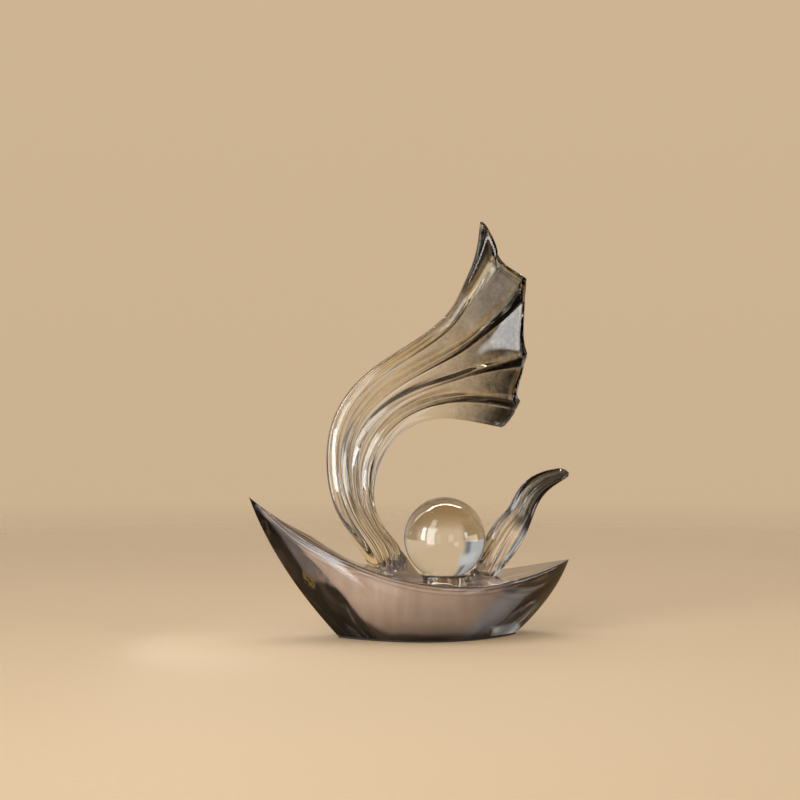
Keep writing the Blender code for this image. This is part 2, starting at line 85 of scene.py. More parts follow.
BASE_AFT_X = HULL_HIGH.x - STERN_OVERHANG

# Ball, seat and pad
BALL_X = (BALL_LOW.x + BALL_HIGH.x) / 2
BALL_Z = (BALL_LOW.z + BALL_HIGH.z) / 2
SEAT_BORE = 0.0212
SEAT_EDGE_RADIUS = 0.0018
SEAT_REACH = (SEAT_HIGH.x - SEAT_LOW.x) / 2
PAD_EDGE = 0.0002              # bevel of the pad's lower edge

# Swellings of the deck: place, length and height of the crest along the bow, then place, length,
# width and height of the swellings under the sail and the plume
DECK_LOW_X = BALL_X + 0.0110
BOW_CREST = (HULL_LOW.x + 0.0328, 0.0250, 0.0040)
SAIL_MOUND = (BALL_X - 0.0300, 0.0110, 0.0120, 0.0170)
PLUME_MOUND = (BALL_X + 0.0200, 0.0078, 0.0100, 0.0070)

# Sail and plume: their outlines in the middle plane, as x aft of the ball's centre line and z
# above the lowest deck. Each flute ends in a dip or, if that is negative, a bulge of the free
# edge, with two powers for the way it comes and goes. A ridge has its share of the way across at
# the foot and at the neck, and how late it turns to its tip. All of them are as in the solids,
# but for two tips of the sail that stand 2 mm lower and two dips that are a little deeper.
SAIL_OUTER_EDGE = [(-0.0450, 0.0075), (-0.0545, 0.0223), (-0.0648, 0.0383), (-0.0710, 0.0565),
                   (-0.0727, 0.0745), (-0.0697, 0.0960), (-0.0585, 0.1165), (-0.0415, 0.1320),
                   (-0.0135, 0.1503), (0.0048, 0.1677), (0.0120, 0.1827), (0.0162, 0.1933),
                   (0.0186, 0.2033)]
SAIL_INNER_EDGE = [(-0.0265, 0.0045), (-0.0278, 0.0205), (-0.0345, 0.0297), (-0.0418, 0.0425),
                   (-0.0433, 0.0595), (-0.0363, 0.0793), (-0.0242, 0.0920), (-0.0051, 0.0987),
                   (0.0150, 0.0973)]
SAIL_TIPS = [(0.0197, 0.2185), (0.0298, 0.1993), (0.0474, 0.1842), (0.0480, 0.1387),
             (0.0436, 0.1102), (0.0327, 0.0938)]
SAIL_DIPS = [(-0.0026, 0.45, 0.7), (0.0013, 1.0, 2.0), (0.0019, 3.0, 1.0), (0.0024, 3.2, 0.7),
             (-0.0018, 1.0, 1.0)]
SAIL_RIDGES = [(0.28, 0.10, 13.0), (0.50, 0.31, 3.0), (0.66, 0.52, 4.0), (0.82, 0.76, 7.0)]
PLUME_FORE_EDGE = [(0.0188, 0.0035), (0.0213, 0.0145), (0.0266, 0.0280), (0.0338, 0.0377),
                   (0.0392, 0.0435), (0.0439, 0.0518), (0.0510, 0.0606), (0.0604, 0.0658)]
PLUME_AFT_EDGE = [(0.0295, 0.0000), (0.0345, 0.0051), (0.0423, 0.0142), (0.0490, 0.0241),
                  (0.0541, 0.0355), (0.0579, 0.0451), (0.0643, 0.0539), (0.0725, 0.0598)]
PLUME_TIPS = [(0.0715, 0.0681), (0.0753, 0.0675), (0.0775, 0.0653), (0.0773, 0.0631),
              (0.0753, 0.0615)]
PLUME_DIPS = [(0.0, 1.0, 1.0)] * 4
PLUME_RIDGES = [(0.25, 0.22, 8.0), (0.50, 0.45, 8.0), (0.75, 0.72, 8.0)]

# Both castings, as shares of their length from foot to free edge
FLARE_LENGTH = 0.05            # of the thickening at the deck
NECK_PLACE = 0.50              # where the ridges have moved to their shares at the neck
CURL_START = 0.55              # where the curl to the front begins
CURL_POWER = 3                 # how late it turns
STEM_TAPER = 1.5               # how soon the stem thins towards the free edge
EDGE_TAPER = 0.7               # how soon the long edges lose their full round
FOOT_FLUTE_SHARE = 0.5         # depth of the flutes at the foot, as a share of the full depth
SAIL_PLEAT_PLACE = 0.28        # where a pleat is deepest, as a share of the flute's breadth
SAIL_SOCKET_SHARE = 0.16       # how far up the sail the cutter of its socket reaches
PLUME_SOCKET_SHARE = 0.27

# Smoky tint in the castings, flute by flute: how dark the face is at shares of the length. The
# steep sides of the sail's flutes, apart from the first two, are darker with painted shade
SAIL_SMOKE = [[(0.58, 0.0), (0.72, 0.55), (0.84, 0.92), (0.95, 0.98)],
              [(0.58, 0.0), (0.72, 0.22), (0.82, 0.45), (0.89, 0.70), (0.98, 0.74)],
              [(0.60, 0.0), (0.73, 0.25), (0.82, 0.60), (0.92, 0.85), (0.98, 0.88)],
              [(0.66, 0.0), (0.80, 0.25), (0.90, 0.65), (0.97, 0.93), (0.99, 0.97)],
              [(0.70, 0.0), (0.80, 0.15), (0.90, 0.62), (0.96, 0.95), (0.99, 0.98)]]
SAIL_STEEP_SHADE = [(0.48, 0.0), (0.62, 0.45), (0.76, 0.90), (0.84, 1.0), (1.00, 1.0)]
PLUME_SMOKE = [[(0.40, 0.0), (0.50, 0.92), (0.75, 0.98)],
               [(0.42, 0.0), (0.58, 0.70), (0.85, 0.92)],
               [(0.40, 0.0), (0.50, 0.92), (0.75, 0.98)],
               [(0.40, 0.0), (0.50, 0.96), (0.75, 1.00)]]

# Painted shade in fine dark lines along the sail and the plume, flute by flute: from and to as
# shares of the flute's breadth, from and to as shares of the length, and how dark
SAIL_LINES = [[(0.88, 1.02, 0.08, 0.33, 0.80), (-0.02, 0.10, 0.40, 1.10, 0.97),
               (0.45, 0.60, 0.42, 1.10, 0.90)],
              [(-0.02, 0.05, 0.05, 0.33, 0.80), (0.90, 1.02, 0.14, 0.42, 0.97),
               (0.24, 0.30, 0.46, 1.10, 0.97)],
              [(-0.02, 0.06, 0.14, 0.44, 0.97), (0.90, 1.02, 0.16, 0.36, 0.98)],
              [(-0.02, 0.08, 0.16, 0.36, 0.98), (0.95, 1.02, 0.30, 0.60, 0.75)],
              [(0.24, 0.56, 0.20, 0.47, 1.00), (0.55, 1.02, 0.03, 0.15, 0.97),
               (-0.02, 0.04, 0.30, 0.60, 0.80)]]
PLUME_LINES = [[(-0.35, 0.45, 0.44, 1.10, 0.99), (0.92, 1.02, 0.10, 0.50, 0.60)],
               [(-0.02, 0.08, 0.10, 0.46, 0.70), (0.50, 0.62, 0.25, 0.60, 0.80)],
               [(-0.02, 0.10, 0.05, 0.70, 0.90), (0.60, 0.75, 0.05, 0.35, 0.60)],
               [(-0.02, 0.10, 0.10, 0.40, 0.75), (0.45, 0.65, 0.15, 0.40, 0.85)]]

REFRACTION = 1.50              # of the resin, the glass and the clear plastic

# Tint of the hull: how light it is along x, up z and on the deck, then the edge of the painted
# shade on the bow, as x and z on the side of the hull
HULL_LIGHT_ALONG = [(-0.060, 1.0), (-0.020, 0.92), (0.012, 0.72), (0.036, 0.55), (0.056, 0.34),
                    (0.075, 0.26)]
HULL_LIGHT_UP = [(0.003, 0.10), (0.007, 0.34), (0.014, 0.68), (0.026, 1.0)]
DECK_LIGHT = 0.66
BOW_SHADE = [(-0.0988, 0.0860), (-0.0946, 0.0800), (-0.0864, 0.0705), (-0.0806, 0.0622),
             (-0.0758, 0.0540), (-0.0699, 0.0457), (-0.0652, 0.0384), (-0.0595, 0.0350),
             (-0.0528, 0.0342), (-0.0483, 0.0314), (-0.0424, 0.0248), (-0.0388, 0.0188),
             (-0.0317, 0.0112), (-0.0225, 0.0058), (-0.0167, 0.0035)]

# Painted highlight and shade lines along the rim: millimetres from its start, and gain
RIM_LINES = [(-4.0, 1.0), (-3.4, 0.60), (-3.0, 0.60), (-2.6, 1.30), (-1.4, 1.40), (-1.1, 0.12),
             (-0.3, 0.10), (0.1, 1.40), (0.8, 1.40), (1.2, 0.15), (2.2, 0.10), (2.6, 1.40),
             (3.2, 1.40), (3.6, 0.06), (5.4, 0.06), (5.9, 1.30), (7.0, 1.30), (7.6, 0.12),
             (9.2, 0.12), (10.4, 1.0)]

# Fineness of the meshes
HULL_STATIONS = 120
HULL_LEVELS = 14
RIM_STEPS = 8
DECK_STRIPS = 18               # on each side of the middle line
SAIL_ROWS = 150
PLUME_ROWS = 70
EDGE_STEPS = 8                 # rows in the rounded free edge of the sail and the plume
RIDGE_ROUND = 0.05             # rounding of their ridges and creases, as a share of the depth
TURN_STEPS = 96                # round the ball, the seat and the floor
CUP_STEPS = 7
SEAT_EDGE_STEPS = 9
PAD_STEPS = 90
SHARP_DEGREES = 30             # edges that bend more than this stay sharp

# Surroundings, as seen from the figurine: bearings in degrees, 0 towards the camera and 90 to its
# left, and what stands there. Heights are the z of a direction of length 1
ROOM = [(-180, "wall"), (-120, "wall"), (-105, "side"), (-66, "side"), (-58, "dark"),
        (64, "dark"), (72, "shine"), (108, "shine"), (114, "pale"), (150, "pale"),
        (154, "slate"), (157, "slate"), (163, "wall"), (180, "wall")]
PAINTS = {"side": (0.260, 0.175, 0.090, 1.0), "dark": (0.045, 0.037, 0.032, 1.0),
          "shine": (0.50, 0.47, 0.43, 1.0), "pale": (0.450, 0.450, 0.440, 1.0),
          "slate": (0.160, 0.170, 0.180, 1.0), "ceiling": (0.070, 0.050, 0.032, 1.0),
          "patch": (0.56, 0.57, 0.56, 1.0), "brown": (0.45, 0.35, 0.24, 1.0),
          "bent ground": (0.330, 0.215, 0.100, 1.0),
          "mirrored ground": (0.170, 0.175, 0.220, 1.0),
          "soft light": (0.52, 0.50, 0.48, 1.0), "window": (0.94, 0.98, 1.0, 1.0),
          "shaded floor seen in resin": (0.250, 0.150, 0.052, 1.0), "white": (0.92, 0.95, 1.0, 1.0)}

# Patches of light around the figurine: from, to and softness of the bearing in degrees, the same
# of the height, how strong, and which rays find the patch
GLOW_PATCHES = [((12.0, 26.0, 3.0), (-0.20, 0.25, 0.05), 1.2, "mirrored and bent"),
                ((-24.0, -10.0, 3.0), (-0.10, 0.24, 0.04), 2.5, "mirrored and bent"),
                ((31.0, 50.0, 2.0), (0.52, 0.80, 0.05), 5.0, "mirrored"),
                ((98.0, 122.0, 4.0), (0.42, 0.82, 0.06), 5.0, "mirrored"),
                ((-68.0, -58.0, 2.0), (0.06, 0.26, 0.02), 9.0, "mirrored"),
                ((-40.0, -26.0, 3.0), (-0.30, -0.12, 0.04), 3.0, "mirrored")]

# The bright window: its slanting right edge as height and bearing, and its strength by height
WINDOW_EDGE = [(0.0, 30.0), (0.24, 29.5), (0.34, 27.5), (0.40, 24.8), (0.46, 22.8), (0.50, 22.0)]
WINDOW_LIGHT = [(-0.36, 0.0), (-0.28, 0.15), (-0.18, 1.0), (0.48, 1.0), (0.53, 0.0)]
WINDOW_STRENGTH = 8.5
BENT_DIMMING = 0.70            # how much weaker bent rays find all this light

# Lamps and cards of light: name, place, aim, width, height, power, tint and which rays find them
LAMPS = [("window", (-0.80, -0.95, 0.55), (0.0, 0.0, 0.10), 1.00, 1.20, 18.0,
          (1.0, 0.985, 0.96), "spread"),
         ("fill", (1.10, -0.70, 0.50), (0.0, 0.0, 0.08), 0.60, 0.90, 5.0,
          (1.0, 0.96, 0.90), "spread"),
         ("top", (0.10, 0.25, 1.30), (0.0, 0.0, 0.05), 0.80, 0.60, 7.0,
          (1.0, 0.97, 0.92), "spread"),
         ("strip", (0.021, 0.135, 0.42), (0.021, 0.0, 0.0), 0.46, 0.008, 1.4,
          (1.0, 0.90, 0.72), "mirrored and bent"),
         ("left_card", (-0.160, 0.042, 0.150), (-0.040, 0.0, 0.150), 0.065, 0.220, 0.25,
          (1.0, 0.98, 0.96), "mirrored"),
         ("stem_card", (-0.183, -0.073, 0.110), (-0.048, -0.007, 0.110), 0.044, 0.120, 0.24,
          (1.0, 0.99, 0.98), "mirrored"),
         ("right_card", (0.205, -0.067, 0.062), (0.045, -0.010, 0.2215), 0.150, 0.059, 0.17,
          (1.0, 0.84, 0.60), "mirrored")]

# Camera and floor. The camera stands level, and the picture is shifted down instead
CAMERA_YAW = math.radians(9.0)
CAMERA_DISTANCE = 1.457
CAMERA_LEFT = 0.0065
CAMERA_HEIGHT = 0.1823
LENS_MM = 107.55
SENSOR_MM = 36.0
SHIFT_DOWN = 63.0 / 800.0      # as a share of the picture's width
FLOOR_Z = -0.0002
FLOOR_RINGS = [0.3, 0.6, 1.0, 1.6, 2.4]


class FigurineSizes(bpy.types.PropertyGroup):
    """Sizes of the pieces that a user would change."""

    ball_diameter: bpy.props.FloatProperty(
        name="Ball diameter", description="Diameter of the glass ball",
        default=BALL_HIGH.x - BALL_LOW.x, unit="LENGTH")
    sail_stem: bpy.props.FloatProperty(
        name="Sail stem", description="Thickness of the sail's stem",
        default=0.0230, unit="LENGTH")
    sail_fan: bpy.props.FloatProperty(
        name="Sail fan", description="Thickness of the sail at its free edge",
        default=0.0140, unit="LENGTH")
    sail_flute: bpy.props.FloatProperty(
        name="Sail flutes", description="Depth of the sail's flutes at the free edge",
        default=0.0047, unit="LENGTH")
    sail_curl: bpy.props.FloatProperty(
        name="Sail curl", description="How far the free edge curls to the front",
        default=0.0125, unit="LENGTH")
    plume_stem: bpy.props.FloatProperty(
        name="Plume stem", description="Thickness of the plume at its foot",
        default=0.0170, unit="LENGTH")
    plume_tip: bpy.props.FloatProperty(
        name="Plume tip", description="Thickness of the plume's tip",
        default=0.0050, unit="LENGTH")
    plume_flute: bpy.props.FloatProperty(
        name="Plume flutes", description="Depth of the plume's flutes",
        default=0.0008, unit="LENGTH")
    ripple: bpy.props.FloatProperty(
        name="Ripple", description="Height of the fine ripples along the flutes",
        default=0.00008, unit="LENGTH")


class FigurineColours(bpy.types.PropertyGroup):
    """Colours of the castings, the ball, the pad and the studio."""

    clear: bpy.props.FloatVectorProperty(
        name="Clear resin", description="Tint of the clear castings",
        subtype="COLOR", size=3, default=(0.94, 0.92, 0.89))
    # Colour of the painted golden highlights along the ridges, the foot and the free edges
    gold_highlight: bpy.props.FloatVectorProperty(
        name="Gold", description="Tint along the ridges",
        subtype="COLOR", size=3, default=(1.0, 0.88, 0.64))
    # Dark tint of the smoky free edges, also used for painted shade lines and steep sides
    smoke: bpy.props.FloatVectorProperty(
        name="Smoke", description="Tint at the free edges",
        subtype="COLOR", size=3, default=(0.010, 0.008, 0.006))
    hull: bpy.props.FloatVectorProperty(
        name="Hull", description="Tint of the hull amidships",
        subtype="COLOR", size=3, default=(0.84, 0.73, 0.72))
    # Darkest colour of the hull: painted shade along the bow and the stern, and darker towards the
    # base
    hull_dark: bpy.props.FloatVectorProperty(
        name="Hull smoke", description="Darkest tint of the hull, at its bow and base",
        subtype="COLOR", size=3, default=(0.014, 0.012, 0.013))
    glass: bpy.props.FloatVectorProperty(
        name="Glass", description="Tint of the ball",
        subtype="COLOR", size=3, default=(0.97, 0.975, 0.96))
    seat: bpy.props.FloatVectorProperty(
        name="Seat", description="Tint of the ring under the ball",
        subtype="COLOR", size=3, default=(0.70, 0.61, 0.52))
    pad: bpy.props.FloatVectorProperty(
        name="Pad", description="Colour of the pad under the base",
        subtype="COLOR", size=3, default=(0.018, 0.016, 0.015))
    backdrop: bpy.props.FloatVectorProperty(
        name="Backdrop", description="Colour behind the figurine",
        subtype="COLOR", size=3, default=(0.620, 0.460, 0.290))
    floor: bpy.props.FloatVectorProperty(
        name="Floor", description="Colour of the floor",
        subtype="COLOR", size=3, default=(0.500, 0.372, 0.238))


class Value:
    """A socket of a node tree. Sums and products of values add their Math nodes."""

    def __init__(self, graph, socket):
        self.graph = graph
        self.socket = socket

    def math(self, operation, *sockets):
        return self.graph.node("ShaderNodeMath", {"operation": operation}, sockets)

    def __add__(self, other):
        return self.math("ADD", self, other)

    __radd__ = __add__

    def __sub__(self, other):
        return self.math("SUBTRACT", self, other)

    def __rsub__(self, other):
        return self.math("SUBTRACT", other, self)

    def __mul__(self, other):
        return self.math("MULTIPLY", self, other)

    __rmul__ = __mul__

    def __truediv__(self, other):
        return self.math("DIVIDE", self, other)

    def __neg__(self):
        return self.math("MULTIPLY", self, -1.0)

    def larger(self, other):
        """The larger one of two values."""
        return self.math("MAXIMUM", self, other)

    def ramp(self, low, high, kind="SMOOTHSTEP"):
        """0 at low, 1 at high and, unless a kind is given, smooth between them."""
        return self.graph.node("ShaderNodeMapRange", {"interpolation_type": kind},
                               {"Value": self, "From Min": low, "From Max": high})

    def window(self, low, high, soft):
        """1 between low and high, 0 outside, with soft borders."""
        return self.ramp(low - soft, low + soft) * (1.0 - self.ramp(high - soft, high + soft))

    def curve(self, points):
        """Height of the line through points, read at this value."""
        total = points[0][1]
        for (start, low), (end, high) in zip(points, points[1:]):
            total = self.ramp(start, end, "LINEAR") * (high - low) + total
        return total


class Graph:
    """The node tree of a material or a world."""

    def __init__(self, tree):
        self.tree = tree
        tree.nodes.clear()

    def node(self, kind, settings=None, sockets=(), output=0):
        """Add a node: its settings first, then the values or links of its sockets."""
        made = self.tree.nodes.new(kind)
        for name, value in (settings or {}).items():
            if name == "stops":
                elements = made.color_ramp.elements
                for k, (place, shade) in enumerate(value):
                    stop = elements[k] if k < 2 else elements.new(place)
                    stop.position = place
                    stop.color = shade
            else:
                setattr(made, name, value)
        pairs = sockets.items() if isinstance(sockets, dict) else enumerate(sockets)
        for key, value in pairs:
            if isinstance(value, Value):
                self.tree.links.new(value.socket, made.inputs[key])
            else:
                made.inputs[key].default_value = value
        return Value(self, made.outputs[output]) if made.outputs else None

    def part(self, value, name):
        """Another output of the node that a value comes from."""
        return Value(self, value.socket.node.outputs[name])

    def mix(self, mask, first, second):
        """First colour where the mask is 0, second where it is 1."""
        return self.node("ShaderNodeMix", {"data_type": "RGBA"},
                         {0: mask, 6: first, 7: second}, output=2)

    def parts(self, where):
        """The parts of a vector along x, y and z."""
        x = self.node("ShaderNodeSeparateXYZ", sockets=[where])
        return x, self.part(x, "Y"), self.part(x, "Z")

    def place(self):
        """Object coordinates."""
        return self.node("ShaderNodeTexCoord", output=3)

    def noise(self, where, scale, detail=2.0, stretch=None):
        """Soft random clouds from 0 to 1, stretched along the axes if asked."""
        if stretch:
            where = self.node("ShaderNodeVectorMath", {"operation": "MULTIPLY"}, [where, stretch])
        return self.node("ShaderNodeTexNoise", sockets={"Vector": where, "Scale": scale,
                                                        "Detail": detail})

    def reading(self, name):
        """A number that the mesh carries at each of its points."""
        return self.node("ShaderNodeAttribute", {"attribute_name": name}, output=2)

    def bump(self, height, strength, distance):
        return self.node("ShaderNodeBump", sockets={"Strength": strength, "Distance": distance,
                                                    "Height": height})

    def rays(self):
        """1 for mirrored rays, 1 for bent rays and 1 for rays straight from the camera."""
        path = self.node("ShaderNodeLightPath")
        bent = self.part(path, "Is Transmission Ray")
        mirrored = self.part(path, "Is Glossy Ray") * (1.0 - bent)
        return mirrored, bent, self.part(path, "Is Camera Ray")


def colour(rgb, gain=1.0):
    """Colour for a socket, made lighter or darker by a gain."""
    return tuple(min(1.0, channel * gain) for channel in rgb) + (1.0,)


def new_material(name, build):
    """Material whose surface is the shader that build(graph) returns."""
    material = bpy.data.materials.new(name)
    material.use_nodes = True
    graph = Graph(material.node_tree)
    graph.node("ShaderNodeOutputMaterial", sockets={"Surface": build(graph)})
    return material


def new_surface(name, build):
    """Material with one Principled shader, whose sockets come from build(graph)."""
    return new_material(name, lambda graph: graph.node("ShaderNodeBsdfPrincipled",
                                                       sockets=build(graph)))


def resin_surface(name, clear, gold_highlight, smoke):
    """Clear resin with smoky tint, painted shade and painted golden highlights where the mesh says
    so.
    """
    def build(graph):
        where = graph.place()
        depth = graph.reading("smoke")
        cloud = graph.noise(where, 120.0, 4.0) + graph.noise(where, 420.0, 3.0)
        mask = depth + (cloud - 1.0) * 0.45 * depth.window(0.15, 0.92, 0.12)
        # Painted golden highlights, then smoky tint and painted shade over them
        tint = graph.mix(graph.reading("gold_highlight"), colour(clear), colour(gold_highlight))
        tint = graph.mix(mask, tint, colour(smoke))
        fine = graph.noise(where, 700.0, 2.0)
        return {"Base Color": tint, "Roughness": 0.015 + fine * 0.02,
                "Transmission Weight": 1.0, "IOR": REFRACTION,
                "Normal": graph.bump(graph.noise(where, 90.0, 1.0), 0.04, 0.0004)}
    return new_surface(name, build)


def hull_surface(name, body, dark):
    """Smoky resin, darker at the base; painted shade at bow and stern, painted pale reflections
    near the stern.
    """
    def build(graph):
        where = graph.place()
        x, y, z = graph.parts(where)
        deck = graph.reading("deck")
        rim = graph.reading("rim")
        # Clouds and upright streaks in the body
        cloud = graph.noise(where, 45.0, 3.0, stretch=(1.0, 1.0, 0.6))
        streak = graph.noise(where, 160.0, 2.0, stretch=(1.0, 1.0, 0.12))
        light = x.curve(HULL_LIGHT_ALONG) * z.curve(HULL_LIGHT_UP)
        light = light * (0.94 + (cloud - 0.5) * 0.40 + (streak - 0.5) * 0.60)
        # Painted shade: dark bow with a soft edge, and a dark tip
        edge = z - x.curve(BOW_SHADE) + (cloud - 0.5) * 0.006
        light = light * (0.04 + 0.96 * edge.ramp(-0.0010, 0.0030)) * x.ramp(-0.0950, -0.0880)
        # Painted shade: a band rising to the stern and the stern; painted reflections: pale
        # patches below
        slope = z - (x - 0.0600) * 0.70 - 0.0140
        band = slope.window(-0.0030, 0.0035, 0.0020) * x.ramp(0.058, 0.066)
        light = light * (1.0 - 0.85 * band) * (1.0 - 0.75 * x.ramp(0.082, 0.092))
        pale = slope.window(-0.0100, -0.0060, 0.0015) * x.window(0.053, 0.078, 0.004)
        pale = pale.larger(z.window(-0.0020, 0.0068, 0.0006) * x.window(0.047, 0.066, 0.002))
        # Even deck, and painted highlight and shade lines along the rim that are weaker aft of the
        # bow
        light = light.math("MULTIPLY_ADD", deck, DECK_LIGHT - light, light)
        light = light * (1.0 + (rim.curve(RIM_LINES) - 1.0) * (1.0 - 0.45 * x.ramp(-0.045, 0.0)))
        # The pale patches are painted reflections, bluish white where they are off the deck
        tint = graph.mix(light.larger(pale), colour(dark), colour(body))
        tint = graph.mix(pale * (1.0 - deck), tint, (0.90, 0.95, 1.0, 1.0))
        # Painted golden glint at the bow: the rear side has a clear place, which lets light
        # through to it
        painted_glint = x.window(-0.0670, -0.0600, 0.0006) * edge.window(-0.0045, 0.0015, 0.0006)
        rear = y.ramp(-0.0005, 0.0005)
        painted_glint = painted_glint * graph.noise(where, 420.0, 1.0).ramp(0.42, 0.52).larger(rear)
        glint_colour = graph.mix(rear, (1.0, 0.70, 0.20, 1.0), (1.0, 1.0, 1.0, 1.0))
        tint = graph.mix(painted_glint, tint, glint_colour)
        fine = graph.noise(where, 500.0, 2.0)
        return {"Base Color": tint, "Roughness": 0.02 + fine * 0.03,
                "Transmission Weight": 0.90, "IOR": REFRACTION,
                "Normal": graph.bump(graph.noise(where, 60.0, 1.0), 0.04, 0.0004)}
    return new_surface(name, build)


def glass_surface(name, tint):
    """Polished clear glass or plastic, a little uneven in its gloss."""
    def build(graph):
        where = graph.place()
        fine = graph.noise(where, 900.0, 1.0)
        return {"Base Color": colour(tint), "Roughness": fine * 0.01,
                "Transmission Weight": 1.0, "IOR": REFRACTION}
    return new_surface(name, build)


def pad_surface(name, tint):
    """Dark sheet with a fine grain."""
    def build(graph):
        where = graph.place()
        grain = graph.noise(where, 1800.0, 2.0)
        shade = graph.mix(grain.ramp(0.3, 0.7), colour(tint, 0.7), colour(tint, 1.6))
        return {"Base Color": shade, "Roughness": 0.75 + grain * 0.15,
                "Normal": graph.bump(grain, 0.3, 0.0002)}
    return new_surface(name, build)


def floor_surface(name, tint):
    """Matte floor that fades out far away and, where resin mirrors or bends it, nearer by.

    Resin and glass see it darker, as painted shade, with a pale strip near the stern.
    """
    def build(graph):
        where = graph.place()
        along_hull, away, _ = graph.parts(where)
        reach = graph.node("ShaderNodeVectorMath", {"operation": "LENGTH"}, [where],
                           output="Value")
        mirrored, bent, _ = graph.rays()
        indirect = mirrored.larger(bent)
        grain = graph.noise(where, 260.0, 3.0)
        shade = graph.mix(grain, colour(tint, 0.97), colour(tint, 1.03))
        slant = away + 0.0245 - (along_hull - 0.052) * 0.95
        pale = along_hull.window(0.052, 0.073, 0.002) * slant.window(0.0, 0.012, 0.001)
        under = graph.mix(pale, PAINTS["shaded floor seen in resin"], PAINTS["white"])
        matte = graph.node("ShaderNodeBsdfPrincipled",
                           sockets={"Base Color": graph.mix(indirect, shade, under),
                                    "Roughness": 0.75})
        through = graph.node("ShaderNodeBsdfTransparent")
        edges = away.ramp(0.10, 0.34) + away.ramp(-0.05, -0.08)
        gone = reach.ramp(0.35, 1.30).larger(indirect * edges)
        return graph.node("ShaderNodeMixShader", sockets=[gone, matte, through])
    return new_material(name, build)


def smooth_faces(mesh, sharp_degrees=SHARP_DEGREES):
    """Shade a mesh smooth and keep its sharp edges."""
    mesh.shade_smooth()
    mesh.set_sharp_from_angle(angle=math.radians(sharp_degrees))


def make_piece(name, vertices, faces, readings=None, sharp_degrees=SHARP_DEGREES):
    """Mesh object with smooth faces, and with numbers at its points that materials can read."""
    mesh = bpy.data.meshes.new(name)
    mesh.from_pydata([tuple(v) for v in vertices], [], faces)
    mesh.validate()
    work = bmesh.new()
    work.from_mesh(mesh)
    bmesh.ops.recalc_face_normals(work, faces=work.faces)
    work.to_mesh(mesh)
    work.free()
    for label, values in (readings or {}).items():
        layer = mesh.attributes.new(label, "FLOAT", "POINT")
        layer.data.foreach_set("value", np.asarray(values, dtype=np.float32))
    smooth_faces(mesh, sharp_degrees)
    piece = bpy.data.objects.new(name, mesh)
    bpy.context.scene.collection.objects.link(piece)
    return piece


def carve(piece, cutters):
    """Cut the cutters out of a piece, keep the result as its mesh and remove them."""
    for cutter in cutters:
        step = piece.modifiers.new("Cut", "BOOLEAN")
        step.operation = "DIFFERENCE"
        step.solver = "EXACT"
        step.object = cutter
    bpy.context.view_layer.update()
    ready = piece.evaluated_get(bpy.context.evaluated_depsgraph_get())
    mesh = bpy.data.meshes.new_from_object(ready)
    piece.modifiers.clear()
    old = piece.data
    piece.data = mesh
    bpy.data.meshes.remove(old)
    smooth_faces(mesh)
    for cutter in cutters:
        bpy.data.objects.remove(cutter, do_unlink=True)


def place_piece(piece, body, node, material):
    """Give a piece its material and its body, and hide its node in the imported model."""
    piece.data.materials.clear()
    piece.data.materials.append(material)
    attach(piece, body)
    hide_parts(node)


def smooth(value, low, high):
    """0 up to low, 1 from high on and smooth between them."""
    share = min(max((value - low) / (high - low), 0.0), 1.0)
    return share * share * (3 - 2 * share)


def bar(value, rise, full, fall, end):
    """1 from full to fall, 0 before rise and after end, and smooth between them."""
    return smooth(value, rise, full) * (1 - smooth(value, fall, end))


def placed(points):
    """Outline points moved to the ball and the deck."""
    return [(BALL_X + x, DECK_HEIGHT + z) for x, z in points]


def side_faces(rows, count):
    """Faces between rings of count points each, one above the other."""
    faces = []
    for i in range(rows):
        for j in range(count):
            k = (j + 1) % count
            low = i * count
            high = low + count
            faces.append((low + j, low + k, high + k, high + j))
    return faces


def spline(points, places):
    """Natural cubic curve through points, read at places from 0 to 1 of its length."""
    knots = np.array(points, dtype=float)
    steps = np.linalg.norm(np.diff(knots, axis=0), axis=1)
    at = np.concatenate([[0.0], np.cumsum(steps)])
    count = len(knots)
    system = np.eye(count)
    right = np.zeros((count, 2))
    for i in range(1, count - 1):
        before, after = steps[i - 1], steps[i]
        system[i, i - 1:i + 2] = before, 2 * (before + after), after
        right[i] = 6 * ((knots[i + 1] - knots[i]) / after - (knots[i] - knots[i - 1]) / before)
    bend = np.linalg.solve(system, right)

    def read(where):
        i = np.clip(np.searchsorted(at, where, side="right") - 1, 0, count - 2)
        span = steps[i][:, None]
        low = (at[i + 1] - where)[:, None]
        high = (where - at[i])[:, None]
        cubic = (bend[i] * low ** 3 + bend[i + 1] * high ** 3) / (6 * span)
        line_low = (knots[i] / span - bend[i] * span / 6) * low
        line_high = (knots[i + 1] / span - bend[i + 1] * span / 6) * high
        return cubic + line_low + line_high

    fine = np.linspace(0.0, at[-1], 400)
    walk = np.linalg.norm(np.diff(read(fine), axis=0), axis=1)
    length = np.concatenate([[0.0], np.cumsum(walk)])
    return read(np.interp(np.asarray(places) * length[-1], length, fine))


def outset(places, halves, grow):
    """Move a row of a plume outward by a clearance, square to its outline."""
    run = places[-1] - places[0]
    run = run / np.linalg.norm(run)
    outline = np.array([((place - places[0]) @ run, half) for place, half in zip(places, halves)])
    before = np.vstack([outline[1] * (1, -1), outline[:-1]])
    after = np.vstack([outline[1:], outline[-2] * (1, -1)])
    first = outline - before
    second = after - outline
    first = first / np.linalg.norm(first, axis=1)[:, None]
    second = second / np.linalg.norm(second, axis=1)[:, None]
    first = np.column_stack([-first[:, 1], first[:, 0]])
    second = np.column_stack([-second[:, 1], second[:, 0]])
    corner = 1 + np.sum(first * second, axis=1)
    move = grow * (first + second) / corner[:, None]
    moved = [place + run * step[0] for place, step in zip(places, move)]
    return moved, [half + step[1] for half, step in zip(halves, move)]


